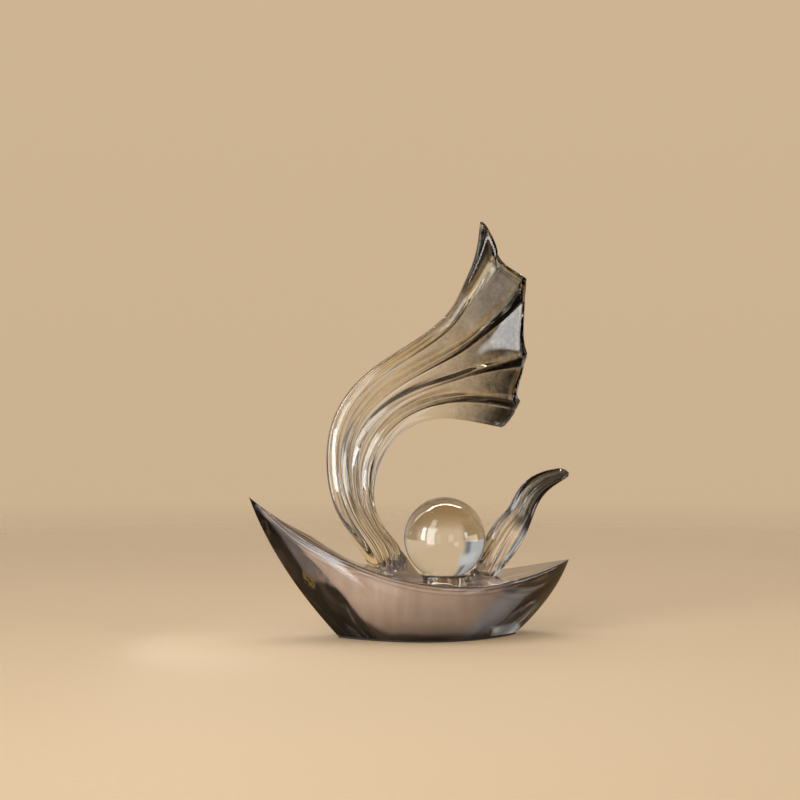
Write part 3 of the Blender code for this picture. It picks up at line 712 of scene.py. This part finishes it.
def free_edge(shape, flute, part):
    """Point of the free edge at a share of the way along a flute, with the flute's dip."""
    start = np.array(shape["tips"][flute])
    end = np.array(shape["tips"][flute + 1])
    depth, come, go = shape["dips"][flute]
    top = come / (come + go)
    run = end - start
    inward = np.array([run[1], -run[0]]) / np.linalg.norm(run)
    dip = depth * (part / top) ** come * ((1 - part) / (1 - top)) ** go
    return start + run * part + inward * dip


def flute_parts(shape):
    """Shares of a flute's breadth at which its columns stand, with one where it is deepest."""
    steep, broad = shape["cells"]
    deepest = shape["pleat_place"]
    parts = [deepest * k / steep for k in range(steep)]
    return parts + [deepest + (1 - deepest) * k / broad for k in range(broad)]


def flute_columns(shape):
    """For each column: flute, share of it, foot share, neck share and lateness of the spread."""
    flutes = len(shape["tips"]) - 1
    ridges = shape["ridges"]
    ends = [(0.0, 0.0, ridges[0][2])] + ridges + [(1.0, 1.0, ridges[-1][2])]
    columns = []
    for flute in range(flutes):
        for part in flute_parts(shape):
            if flute == 0:
                part = 1 - math.cos(math.pi / 2 * part)
            if flute == flutes - 1:
                part = math.sin(math.pi / 2 * part)
            low, high = ends[flute], ends[flute + 1]
            mixed = [a + (b - a) * part for a, b in zip(low, high)]
            columns.append((flute, part, *mixed))
    columns.append((flutes - 1, 1.0, *ends[-1]))
    return columns


def hollow(shape, part, t):
    """Share of the flute's depth: a round hollow at the foot that becomes a creased pleat.

    The pleat's ridge and crease are rounded a little, which the plain solids leave out.
    """
    deepest = shape["pleat_place"]
    round_form = 4 * part * (1 - part)
    pleat = min(part / deepest, (1 - part) / (1 - deepest))
    pleat = math.hypot(pleat, RIDGE_ROUND) - RIDGE_ROUND
    pleat = 1 - math.hypot(1 - pleat, RIDGE_ROUND)
    return round_form + (pleat - round_form) * shape["pleated"] * t


def along(points, t):
    """Height at t of the line through points."""
    return float(np.interp(t, [place for place, _ in points], [level for _, level in points]))


def drawn_lines(lines, part, t):
    """How dark the darkest of the painted shade lines is at a place."""
    level = 0.0
    for start, end, low, high, dark in lines:
        middle = 1 - abs(2 * (part - start) / (end - start) - 1)
        reach = bar(t, low, low + 0.06, high - 0.06, high)
        level = max(level, dark * smooth(middle, 0.0, 0.8) * reach)
    return level


def sail_smoke(flute, part, t):
    """How dark the sail is: smoky towards the free edge, with painted shade and painted
    highlights.
    """
    last_flute = len(SAIL_SMOKE) - 1
    level = along(SAIL_SMOKE[flute], t)
    # Painted shade on the steep sides of the flutes below the first two
    if flute > 1:
        level = max(level, along(SAIL_STEEP_SHADE, t) * bar(part, 0.01, 0.055, 0.24, 0.30))
    # Painted highlights: clear along the crease, along the ridges and, in the two upper flutes, in
    # broad bands
    clear = bar(part, 0.26, 0.30, 0.32, 0.37) * 0.30
    if flute > 0:
        clear = max(clear, (1 - smooth(part, 0.0, 0.06)) * (0.9 if flute == 1 else 0.35))
    if flute < last_flute:
        clear = max(clear, smooth(part, 0.94, 0.98) * (0.9 if flute == 0 else 0.35))
    if flute == 0:
        clear = max(clear, smooth(part, 0.84, 0.92) * 0.92)
        clear = max(clear, bar(part, 0.12, 0.20, 0.26, 0.36) * 0.8)
    if flute == 1:
        clear = max(clear, (1 - smooth(part, 0.18, 0.24)) * 0.92)
    level *= 1 - clear
    # Painted shade in waving fine lines in the stem, and in the drawn lines
    fine = math.sin(2 * math.pi * (3 * part + 0.5 * math.sin(7 * t + 2 * flute)))
    fine = 0.42 * smooth(fine, 0.3, 1.0) * bar(t, 0.08, 0.16, 0.45, 0.70)
    level = max(level, fine, drawn_lines(SAIL_LINES[flute], part, t))
    # Painted shade in a dark line just inside the free edge, and painted light in a paler strip on
    # the edge itself
    level = max(level, 0.97 * smooth(t, 0.976, 0.983))
    edge = 0.45 if flute < last_flute else 0.90
    return level + (edge - level) * smooth(t, 0.985, 0.990)


def sail_gold_highlight(flute, part, t):
    """Painted golden highlight: along ridges and creases, the steep side of flute 1, the foot and
    the edge.
    """
    gold_highlight = (1 - smooth(part, 0.03, 0.10)) * (flute > 0) + smooth(part, 0.90, 0.97)
    gold_highlight = max(gold_highlight, 0.5 * bar(part, 0.26, 0.31, 0.33, 0.38))
    if flute == 0:
        gold_highlight = max(gold_highlight, smooth(part, 0.62, 0.80))
    if flute == 1:
        gold_highlight = max(gold_highlight, 1 - smooth(part, 0.20, 0.28))
    gold_highlight = min(gold_highlight, 1.0) * smooth(t, 0.38, 0.60)
    return max(gold_highlight, 0.8 * (1 - smooth(t, 0.05, 0.11)), smooth(t, 0.975, 0.985))


def plume_smoke(flute, part, t):
    """How dark the plume is: smoky towards the tip, painted highlights along the ridges, painted
    shade lines.
    """
    ridge = abs(part - 0.5) * 2
    clear = 0.75 if flute == 0 and part > 0.5 or flute == 1 and part < 0.5 else 0.35
    level = along(PLUME_SMOKE[flute], t) * (1 - clear * ridge ** 4)
    return max(level, drawn_lines(PLUME_LINES[flute], part, t))


def plume_gold_highlight(flute, part, t):
    """Painted golden highlight on the plume: a little, along its ridges."""
    return 0.5 * (abs(part - 0.5) * 2) ** 4 * smooth(t, 0.0, 0.15)


def fluted(shape, grow=0.0, rows=None):
    """Closed solid of the sail or the plume, with its smoky tint, painted shade and painted gold
    at its points.

    With a clearance to grow by and a number of rows it gives the cutter of a socket instead.
    """
    crossing = flute_columns(shape)
    columns = len(crossing) - 1
    places = np.arange((rows or shape["rows"]) + 1) / shape["rows"]
    if rows is None:
        turns = np.linspace(0.0, 1.0, EDGE_STEPS + 1) * math.pi / 2
        edge_places = 1 - shape["end_share"] * (1 - np.sin(turns))
        places = np.concatenate([places[places < edge_places[0] - 0.002], edge_places])
    rows = len(places) - 1
    outer = spline(shape["outer"], places)
    inner = spline(shape["inner"], places)
    end_outer = np.array(shape["outer"][-1])
    end_inner = np.array(shape["inner"][-1])
    vertices = []
    smokes = []
    gold_highlights = []
    for i, t in enumerate(places):
        half = shape["tip_half"]
        half += (shape["stem_half"] - shape["tip_half"]) * (1 - t) ** STEM_TAPER
        half += shape["flare"] * math.exp(-t / FLARE_LENGTH)
        squareness = 1.0 - (1.0 - shape["edge_round"]) * t ** EDGE_TAPER
        depth = shape["flute_depth"] * (FOOT_FLUTE_SHARE + (1 - FOOT_FLUTE_SHARE) * t)
        curl = shape["curl"] * max(0.0, (t - CURL_START) / (1 - CURL_START)) ** CURL_POWER
        ease = smooth(t, 0.0, NECK_PLACE)
        ripple = shape["ripple"] * bar(t, 0.05, 0.18, 0.45, 0.85)
        # How far the row is into the rounded free edge, and what that takes off each side
        ending = max(0.0, 1 - (1 - t) / shape["end_share"])
        rounding = shape["end_radius"] * (1 - math.sqrt(1 - ending ** 2))
        row = []
        halves = []
        smoke = []
        gold_highlight = []
        for flute, part, foot, neck, spread in crossing:
            across = foot + (neck - foot) * ease
            straight = (1 - neck) * end_outer + neck * end_inner
            tip = free_edge(shape, flute, part)
            place = (1 - across) * outer[i] + across * inner[i]
            row.append(place + (tip - straight) * t ** spread)
            round_off = (4 * across * (1 - across)) ** (squareness / 2)
            wave = math.sin(2 * math.pi * 1.6 * part + 1.5 * math.sin(4 * t + flute))
            wave *= 4 * part * (1 - part) * (flute > 0)
            kept = 1 - shape["filled"][flute] * (1 - smooth(t, 0.45, 0.75))
            thick = half - depth * kept * hollow(shape, part, t) + ripple * wave
            halves.append(thick * round_off - min(rounding, 0.6 * thick * round_off))
            smoke.append(shape["smoke"](flute, part, t))
            gold_highlight.append(shape["gold_highlight"](flute, part, t))
        if grow > 0.0:
            row, halves = outset(row, halves, grow)
        front = [(x, -curl - h, z) for (x, z), h in zip(row[1:-1], halves[1:-1])]
        back = [(x, -curl + h, z) for (x, z), h in zip(row[1:-1], halves[1:-1])]
        ends = [(x, -curl, z) for x, z in (row[0], row[-1])]
        vertices += ends[:1] + front + ends[1:] + back[::-1]
        smokes += smoke + smoke[-2:0:-1]
        gold_highlights += gold_highlight + gold_highlight[-2:0:-1]
    ring = 2 * columns
    faces = side_faces(rows, ring)
    for base in (0, rows * ring):
        faces.append((base, base + 1, base + ring - 1))
        for j in range(1, columns - 1):
            faces.append((base + j, base + j + 1, base + ring - j - 1, base + ring - j))
        faces.append((base + columns - 1, base + columns, base + columns + 1))
    return vertices, faces, {"smoke": smokes, "gold_highlight": gold_highlights}


def sail_shape():
    """What fluted() needs for the sail.

    "filled" says how far each flute is filled along the stem, and "cells" how many strips stand
    on the steep and on the broad side of a flute.
    """
    sizes = bpy.context.scene.figurine_sizes
    return {"outer": placed(SAIL_OUTER_EDGE + SAIL_TIPS[:1]),
            "inner": placed(SAIL_INNER_EDGE + SAIL_TIPS[-1:]),
            "tips": placed(SAIL_TIPS), "dips": SAIL_DIPS, "ridges": SAIL_RIDGES,
            "stem_half": sizes.sail_stem / 2, "tip_half": sizes.sail_fan / 2,
            "flare": 0.0020, "flute_depth": sizes.sail_flute, "curl": sizes.sail_curl,
            "pleated": 1.0, "pleat_place": SAIL_PLEAT_PLACE, "ripple": sizes.ripple,
            "edge_round": 0.30, "end_radius": 0.0021, "end_share": 0.020,
            "filled": [0.90, 0.50, 0.20, 0.10, 0.30],
            "smoke": sail_smoke, "gold_highlight": sail_gold_highlight, "rows": SAIL_ROWS, "cells": (7, 15)}


def plume_shape():
    """What fluted() needs for the plume, which has no pleats, no curl and no filled flutes."""
    sizes = bpy.context.scene.figurine_sizes
    return {"outer": placed(PLUME_FORE_EDGE + PLUME_TIPS[:1]),
            "inner": placed(PLUME_AFT_EDGE + PLUME_TIPS[-1:]),
            "tips": placed(PLUME_TIPS), "dips": PLUME_DIPS, "ridges": PLUME_RIDGES,
            "stem_half": sizes.plume_stem / 2, "tip_half": sizes.plume_tip / 2,
            "flare": 0.0010, "flute_depth": sizes.plume_flute, "curl": 0.0,
            "pleated": 0.0, "pleat_place": 0.5, "ripple": 2 * sizes.ripple,
            "edge_round": 0.85, "end_radius": 0.0010, "end_share": 0.010,
            "filled": [0.0, 0.0, 0.0, 0.0],
            "smoke": plume_smoke, "gold_highlight": plume_gold_highlight, "rows": PLUME_ROWS, "cells": (8, 8)}


def foot_cutter(name, shape, share):
    """Socket for a foot: the same fluted form, wider by the glue gap and a little deeper."""
    lower = dict(shape, ripple=0.0)
    for edge in ("outer", "inner"):
        first = np.array(shape[edge][0])
        lean = first - np.array(shape[edge][1])
        deeper = first + lean / np.linalg.norm(lean) * FOOT_GAP
        lower[edge] = [tuple(deeper)] + list(shape[edge][1:])
    vertices, faces, _ = fluted(lower, grow=GLUE_GAP, rows=round(share * shape["rows"]))
    return make_piece(name, vertices, faces)


def turned(profile):
    """Solid turned about the ball's centre line, from a closed profile of radius and height.

    Points of the profile on the line itself become one point each.
    """
    vertices = []
    rings = []
    for radius, z in profile:
        turns = TURN_STEPS if radius > 0.0 else 1
        rings.append([len(vertices) + i % turns for i in range(TURN_STEPS)])
        for i in range(turns):
            turn = 2 * math.pi * i / TURN_STEPS
            vertices.append((BALL_X + radius * math.cos(turn), radius * math.sin(turn), z))
    faces = []
    for low, high in zip(rings, rings[1:] + rings[:1]):
        for i in range(TURN_STEPS):
            k = (i + 1) % TURN_STEPS
            face = list(dict.fromkeys((low[i], low[k], high[k], high[i])))
            if len(face) > 2:
                faces.append(face)
    return vertices, faces


def ball_profile(radius):
    """Half circle about the ball's centre, from its lowest point to its highest."""
    half = TURN_STEPS // 2
    points = []
    for i in range(half + 1):
        tilt = math.pi * i / half
        reach = radius * math.sin(tilt) if 0 < i < half else 0.0
        points.append((reach, BALL_Z - radius * math.cos(tilt)))
    return points


def ball_cutter():
    """Room for the ball and the gap round it, to cut from what stands near it."""
    radius = bpy.context.scene.figurine_sizes.ball_diameter / 2 + BALL_GAP
    return make_piece("ball_room", *turned(ball_profile(radius)))


def cast_fluted(node, shape):
    """Cast the sail or the plume and curve it round the ball."""
    tints = bpy.context.scene.figurine_colours
    piece = make_piece(node + "_casting", *fluted(shape))
    carve(piece, [ball_cutter()])
    surface = resin_surface("clear_resin_" + node, tints.clear, tints.gold_highlight, tints.smoke)
    place_piece(piece, "figurine", node, surface)


def sheer(x):
    """Height of the deck along the hull, without the swellings."""
    half = HULL_HIGH.x
    if x < DECK_LOW_X:
        rise = HULL_HIGH.z - DECK_HEIGHT
        return DECK_HEIGHT + rise * ((DECK_LOW_X - x) / (DECK_LOW_X + half)) ** BOW_SWEEP
    rise = STERN_HEIGHT - DECK_HEIGHT
    return DECK_HEIGHT + rise * ((x - DECK_LOW_X) / (half - DECK_LOW_X)) ** STERN_SWEEP


def mounds(x, y):
    """Swelling of the deck under the sail and under the plume."""
    total = 0.0
    for middle, length, width, height in (SAIL_MOUND, PLUME_MOUND):
        total += height * math.exp(-((x - middle) / length) ** 2 - (y / width) ** 2)
    return total


def hull_place(s, level):
    """Place along the hull and half breadth at a level, 0 at the base and 1 at the deck."""
    half = HULL_HIGH.x
    swell = 4 * level * (1 - level)
    fore = BASE_FORE_X + (-half - BASE_FORE_X) * level - BOW_BULGE * swell
    aft = BASE_AFT_X + (half - BASE_AFT_X) * level + STERN_BULGE * swell
    lens = 4 * s * (1 - s)
    full = s ** DECK_FULLNESS
    deck = HULL_HIGH.y * (4 * full * (1 - full)) ** DECK_BLUNTNESS
    base = BASE_BEAM / 2 * lens
    breadth = base + (deck - base) * level + SIDE_BULGE * swell * lens
    return fore + (aft - fore) * s, breadth


def hull_section(s):
    """Right half of a cross section, from the base edge to the middle of the deck.

    Each point also has a share of deck and its distance from the start of the rim, in millimetres.
    """
    floor = HULL_LOW.z
    top_x, top_breadth = hull_place(s, 1.0)
    top = sheer(top_x)
    radius = min(RIM_RADIUS, NARROW_SHARE * top_breadth)
    points = []
    for k in range(HULL_LEVELS + 1):
        level = k / HULL_LEVELS * (top - radius - floor) / (top - floor)
        x, breadth = hull_place(s, level)
        z = floor + level * (top - floor)
        points.append((x, breadth, z, 0.0, (z - top + radius) * 1000))
    side_x, side_breadth = points[-1][0], points[-1][1]
    arc = math.pi / 2 * radius * 1000
    for k in range(1, RIM_STEPS + 1):
        turn = math.pi / 2 * k / RIM_STEPS
        x = side_x + (top_x - side_x) * math.sin(turn)
        breadth = side_breadth - radius * (1 - math.cos(turn))
        share = k / RIM_STEPS
        points.append((x, breadth, top - radius * (1 - math.sin(turn)), share, share * arc))
    deck_x, deck_breadth = points[-1][0], points[-1][1]
    middle, length, height = BOW_CREST
    crest = height * math.exp(-((deck_x - middle) / length) ** 2)
    crest = min(crest, NARROW_SHARE * deck_breadth)
    for k in range(1, DECK_STRIPS + 1):
        outward = 1 - k / DECK_STRIPS
        breadth = deck_breadth * outward
        rise = crest * (1 - outward ** 2) + mounds(deck_x, breadth)
        inward = (deck_breadth - breadth) * 1000
        points.append((deck_x, breadth, top + rise, 1.0, arc + inward))
    return points


def hull_solid():
    """Loft of the cross sections, closed by the two stem lines and the flat bottom."""
    work = bmesh.new()
    decks = work.verts.layers.float.new("deck")
    rims = work.verts.layers.float.new("rim")
    rows = []
    for i in range(HULL_STATIONS + 1):
        s = (1 - math.cos(math.pi * i / HULL_STATIONS)) / 2
        right = []
        left = []
        for x, breadth, z, deck, rim in hull_section(s):
            if i in (0, HULL_STATIONS):
                breadth = 0.0
            right.append(work.verts.new((x, -breadth, z)))
            left.append(work.verts.new((x, breadth, z)) if breadth > 0.0 else right[-1])
            for corner in (right[-1], left[-1]):
                corner[decks] = deck
                corner[rims] = rim
        rows.append(right + left[::-1][1:])
    for before, after in zip(rows, rows[1:]):
        for corners in zip(before, before[1:] + before[:1], after[1:] + after[:1], after):
            face = list(dict.fromkeys(corners))
            if len(face) > 2:
                work.faces.new(face)
    bmesh.ops.remove_doubles(work, verts=work.verts, dist=1e-6)
    bmesh.ops.dissolve_degenerate(work, edges=work.edges, dist=1e-7)
    work.verts.index_update()
    vertices = [tuple(v.co) for v in work.verts]
    faces = [tuple(v.index for v in face.verts) for face in work.faces]
    readings = {"deck": [v[decks] for v in work.verts], "rim": [v[rims] for v in work.verts]}
    work.free()
    return vertices, faces, readings


class FIGURINE_OT_hull(bpy.types.Operator):
    """Cast the tinted hull, with sockets for both feet and a pocket for the seat"""

    bl_idname = "figurine.hull"
    bl_label = "Hull"

    def execute(self, context):
        tints = context.scene.figurine_colours
        piece = make_piece("hull_casting", *hull_solid())
        reach = SEAT_REACH + GLUE_GAP
        floor = SEAT_LOW.z - GLUE_GAP
        top = SEAT_HIGH.z + reach
        pocket = turned([(0.0, floor), (reach, floor), (reach, top), (0.0, top)])
        cutters = [foot_cutter("sail_room", sail_shape(), SAIL_SOCKET_SHARE),
                   foot_cutter("plume_room", plume_shape(), PLUME_SOCKET_SHARE),
                   ball_cutter(), make_piece("pocket_room", *pocket)]
        carve(piece, cutters)
        surface = hull_surface("smoke_tinted_resin", tints.hull, tints.hull_dark)
        place_piece(piece, "figurine", "hull", surface)
        return {"FINISHED"}


class FIGURINE_OT_sail(bpy.types.Operator):
    """Cast the large fluted sail, smoky towards its free edge, with painted shade and golden
    highlights
    """

    bl_idname = "figurine.sail"
    bl_label = "Sail"

    def execute(self, context):
        cast_fluted("sail", sail_shape())
        return {"FINISHED"}


class FIGURINE_OT_plume(bpy.types.Operator):
    """Cast the small horn shaped plume behind the ball"""

    bl_idname = "figurine.plume"
    bl_label = "Plume"

    def execute(self, context):
        cast_fluted("plume", plume_shape())
        return {"FINISHED"}


class FIGURINE_OT_ball(bpy.types.Operator):
    """Polish the glass ball"""

    bl_idname = "figurine.ball"
    bl_label = "Ball"

    def execute(self, context):
        radius = context.scene.figurine_sizes.ball_diameter / 2
        piece = make_piece("glass_ball", *turned(ball_profile(radius)), sharp_degrees=180)
        surface = glass_surface("clear_glass", context.scene.figurine_colours.glass)
        place_piece(piece, "ball", "ball", surface)
        return {"FINISHED"}


class FIGURINE_OT_seat(bpy.types.Operator):
    """Mould the clear ring that the ball rests in"""

    bl_idname = "figurine.seat"
    bl_label = "Ball seat"

    def execute(self, context):
        bore = SEAT_BORE / 2
        cup = context.scene.figurine_sizes.ball_diameter / 2 + GLUE_GAP
        cup_reach = math.sqrt(cup ** 2 - (BALL_Z - SEAT_HIGH.z) ** 2)
        profile = [(bore, SEAT_LOW.z)]
        for k in range(CUP_STEPS + 1):
            reach = bore + (cup_reach - bore) * k / CUP_STEPS
            profile.append((reach, BALL_Z - math.sqrt(cup ** 2 - reach ** 2)))
        for k in range(SEAT_EDGE_STEPS + 1):
            turn = math.pi / 2 * k / SEAT_EDGE_STEPS
            profile.append((SEAT_REACH - SEAT_EDGE_RADIUS * (1 - math.sin(turn)),
                            SEAT_HIGH.z - SEAT_EDGE_RADIUS * (1 - math.cos(turn))))
        profile.append((SEAT_REACH, SEAT_LOW.z))
        piece = make_piece("seat_ring", *turned(profile))
        surface = glass_surface("clear_seat", context.scene.figurine_colours.seat)
        place_piece(piece, "figurine", "ball_seat", surface)
        return {"FINISHED"}


class FIGURINE_OT_pad(bpy.types.Operator):
    """Cut the dark pad under the base"""

    bl_idname = "figurine.pad"
    bl_label = "Base pad"

    def execute(self, context):
        middle = (PAD_LOW.x + PAD_HIGH.x) / 2
        length = PAD_HIGH.x - PAD_LOW.x
        base = BASE_AFT_X - BASE_FORE_X
        loops = []
        for z, inset in ((PAD_LOW.z, PAD_EDGE), (PAD_LOW.z + PAD_EDGE, 0.0), (PAD_HIGH.z, 0.0)):
            shrink = (length - 2 * inset) / base
            side = []
            for i in range(PAD_STEPS + 1):
                x, breadth = hull_place((1 - math.cos(math.pi * i / PAD_STEPS)) / 2, 0.0)
                side.append((middle + (x - middle) * shrink, breadth * shrink))
            loops.append([(x, -y, z) for x, y in side] + [(x, y, z) for x, y in side[-2:0:-1]])
        count = len(loops[0])
        vertices = [point for loop in loops for point in loop]
        caps = [tuple(range(count))[::-1], tuple(range(2 * count, 3 * count))]
        piece = make_piece("pad_sheet", vertices, caps + side_faces(2, count))
        surface = pad_surface("dark_pad", context.scene.figurine_colours.pad)
        place_piece(piece, "figurine", "base_pad", surface)
        return {"FINISHED"}


class FIGURINE_OT_stage(bpy.types.Operator):
    """Set up the floor, the surroundings, the lamps and the camera"""

    bl_idname = "figurine.stage"
    bl_label = "Studio"

    def execute(self, context):
        scene = context.scene
        tints = scene.figurine_colours
        self.floor(tints)
        self.surroundings(scene, tints)
        self.lamps(scene)
        self.camera(scene)
        scene.view_settings.view_transform = "Standard"
        return {"FINISHED"}

    def floor(self, tints):
        """Round pale floor, which fades into the surroundings."""
        steps = TURN_STEPS
        vertices = [(0.0, 0.0, FLOOR_Z)]
        for reach in FLOOR_RINGS:
            for j in range(steps):
                turn = 2 * math.pi * j / steps
                vertices.append((reach * math.cos(turn), reach * math.sin(turn), FLOOR_Z))
        faces = [(0, 1 + j, 1 + (j + 1) % steps) for j in range(steps)]
        for ring in range(len(FLOOR_RINGS) - 1):
            a = 1 + ring * steps
            for j in range(steps):
                k = (j + 1) % steps
                faces.append((a + j, a + steps + j, a + steps + k, a + k))
        floor = make_piece("studio_floor", vertices, faces)
        floor.data.materials.append(floor_surface("floor_paint", tints.floor))

    def surroundings(self, scene, tints):
        """Plain backdrop for the camera, and a room with windows for what resin and glass see."""
        world = bpy.data.worlds.new("studio")
        scene.world = world
        world.use_nodes = True
        world.cycles.sampling_method = "NONE"
        graph = Graph(world.node_tree)
        x, y, z = graph.parts(graph.node("ShaderNodeTexCoord", output=0))
        left = y * math.sin(CAMERA_YAW) - x * math.cos(CAMERA_YAW)
        near = -(x * math.sin(CAMERA_YAW) + y * math.cos(CAMERA_YAW))
        bearing = left.math("ARCTAN2", left, near) * math.degrees(1.0)
        mirrored, bent, camera = graph.rays()
        indirect = mirrored.larger(bent)
        room = self.room(graph, tints, bearing, near, z, (mirrored, bent))
        glow = self.glow(bearing, z, mirrored) * (1.0 - BENT_DIMMING * bent)
        wall = graph.mix(z.ramp(-0.3, 0.5), colour(tints.backdrop, 0.94),
                         colour(tints.backdrop, 1.04))
        plain = graph.mix(camera, PAINTS["soft light"], wall)
        seen = graph.mix(indirect, plain, room)
        base = graph.node("ShaderNodeBackground", sockets={"Color": seen, "Strength": 1.0})
        bright = graph.node("ShaderNodeBackground",
                            sockets={"Color": PAINTS["window"], "Strength": glow})
        both = graph.node("ShaderNodeAddShader", sockets=[base, bright])
        light = graph.node("ShaderNodeMixShader", sockets=[indirect, base, both])
        graph.node("ShaderNodeOutputWorld", sockets={"Surface": light})

    def room(self, graph, tints, bearing, near, z, rays):
        """Colours of the room by bearing and height, a little different for bent rays."""
        mirrored, bent = rays
        paints = dict(PAINTS, wall=colour(tints.backdrop))
        stops = [(place / 360 + 0.5, paints[name]) for place, name in ROOM]
        room = graph.node("ShaderNodeValToRGB", {"stops": stops}, [bearing / 360.0 + 0.5])
        # Dark ceiling on the near side and overhead
        above = z.ramp(0.26, 0.48) * near.ramp(-0.25, 0.05)
        room = graph.mix(above.larger(z.ramp(0.80, 0.95)), room, PAINTS["ceiling"])
        # For bent rays: dark to the left, a pale patch behind and brown ground in front
        room = graph.mix(bearing.window(70.0, 110.0, 3.0) * bent, room, PAINTS["dark"])
        behind = bearing.window(136.0, 164.0, 5.0) * z.window(0.22, 0.48, 0.07) * bent
        room = graph.mix(behind, room, PAINTS["patch"])
        below = z.ramp(-0.08, -0.16) * bearing.window(-62.0, 66.0, 6.0) * bent
        room = graph.mix(below, room, PAINTS["brown"])
        # Ground on both sides, which is cooler where it is mirrored
        sides = bearing.window(60.0, 160.0, 8.0) + bearing.window(-150.0, -60.0, 8.0)
        low = graph.mix(mirrored, PAINTS["bent ground"], PAINTS["mirrored ground"])
        return graph.mix(z.ramp(0.0, -0.05) * sides, room, low)

    def glow(self, bearing, z, mirrored):
        """Strength of the bright window and of the patches of light."""
        glow = (bearing - z.curve(WINDOW_EDGE)).ramp(-2.0, 2.0) * (1.0 - bearing.ramp(50.0, 54.0))
        glow = glow * z.curve(WINDOW_LIGHT) * WINDOW_STRENGTH
        for across, up, strength, rays in GLOW_PATCHES:
            patch = bearing.window(*across) * z.window(*up) * strength
            glow = glow + (patch if "bent" in rays else patch * mirrored)
        return glow

    def lamps(self, scene):
        """Soft lamps for the floor and the pad, and cards of light that resin and glass mirror."""
        for name, place, aim, width, height, power, tint, rays in LAMPS:
            data = bpy.data.lights.new(name, "AREA")
            data.shape = "RECTANGLE"
            data.size = width
            data.size_y = height
            data.energy = power
            data.color = tint
            lamp = bpy.data.objects.new(name, data)
            lamp.location = place
            away = Vector(place) - Vector(aim)
            lamp.rotation_mode = "QUATERNION"
            lamp.rotation_quaternion = away.to_track_quat("Z", "Y")
            lamp.visible_camera = False
            lamp.visible_diffuse = "spread" in rays
            lamp.visible_glossy = "mirrored" in rays
            lamp.visible_transmission = "bent" in rays
            scene.collection.objects.link(lamp)

    def camera(self, scene):
        """Camera at the front, level, turned a little and shifted down."""
        data = bpy.data.cameras.new("camera")
        camera = bpy.data.objects.new("camera", data)
        ahead = Vector((math.sin(CAMERA_YAW), math.cos(CAMERA_YAW), 0.0))
        right = Vector((math.cos(CAMERA_YAW), -math.sin(CAMERA_YAW), 0.0))
        level = -CAMERA_DISTANCE * ahead - CAMERA_LEFT * right
        camera.location = level + Vector((0.0, 0.0, CAMERA_HEIGHT))
        camera.rotation_euler = (math.radians(90.0), 0.0, -CAMERA_YAW)
        data.sensor_width = SENSOR_MM
        data.lens = LENS_MM
        data.shift_y = -SHIFT_DOWN
        data.clip_start = 0.05
        data.clip_end = 50.0
        scene.collection.objects.link(camera)
        scene.camera = camera


OPERATORS = (FIGURINE_OT_pad, FIGURINE_OT_hull, FIGURINE_OT_sail, FIGURINE_OT_plume,
             FIGURINE_OT_seat, FIGURINE_OT_ball, FIGURINE_OT_stage)


class FIGURINE_PT_panel(bpy.types.Panel):
    """Sidebar panel with the sizes, the colours and a button for each piece"""

    bl_idname = "FIGURINE_PT_panel"
    bl_label = "Resin Sailboat Figurine"
    bl_space_type = "VIEW_3D"
    bl_region_type = "UI"
    bl_category = "Figurine"

    def draw(self, context):
        layout = self.layout
        for group in (context.scene.figurine_sizes, context.scene.figurine_colours):
            for name in group.__annotations__:
                layout.prop(group, name)
        for operator in OPERATORS:
            layout.operator(operator.bl_idname)


CLASSES = (FigurineSizes, FigurineColours) + OPERATORS + (FIGURINE_PT_panel,)


def register():
    for cls in CLASSES:
        bpy.utils.register_class(cls)
    bpy.types.Scene.figurine_sizes = bpy.props.PointerProperty(type=FigurineSizes)
    bpy.types.Scene.figurine_colours = bpy.props.PointerProperty(type=FigurineColours)


def unregister():
    del bpy.types.Scene.figurine_colours
    del bpy.types.Scene.figurine_sizes
    for cls in reversed(CLASSES):
        bpy.utils.unregister_class(cls)


def main():
    """Build every piece and the studio."""
    register()
    for operator in OPERATORS:
        name = operator.bl_idname.split(".")[1]
        getattr(bpy.ops.figurine, name)()


if __name__ == "__main__":
    main()
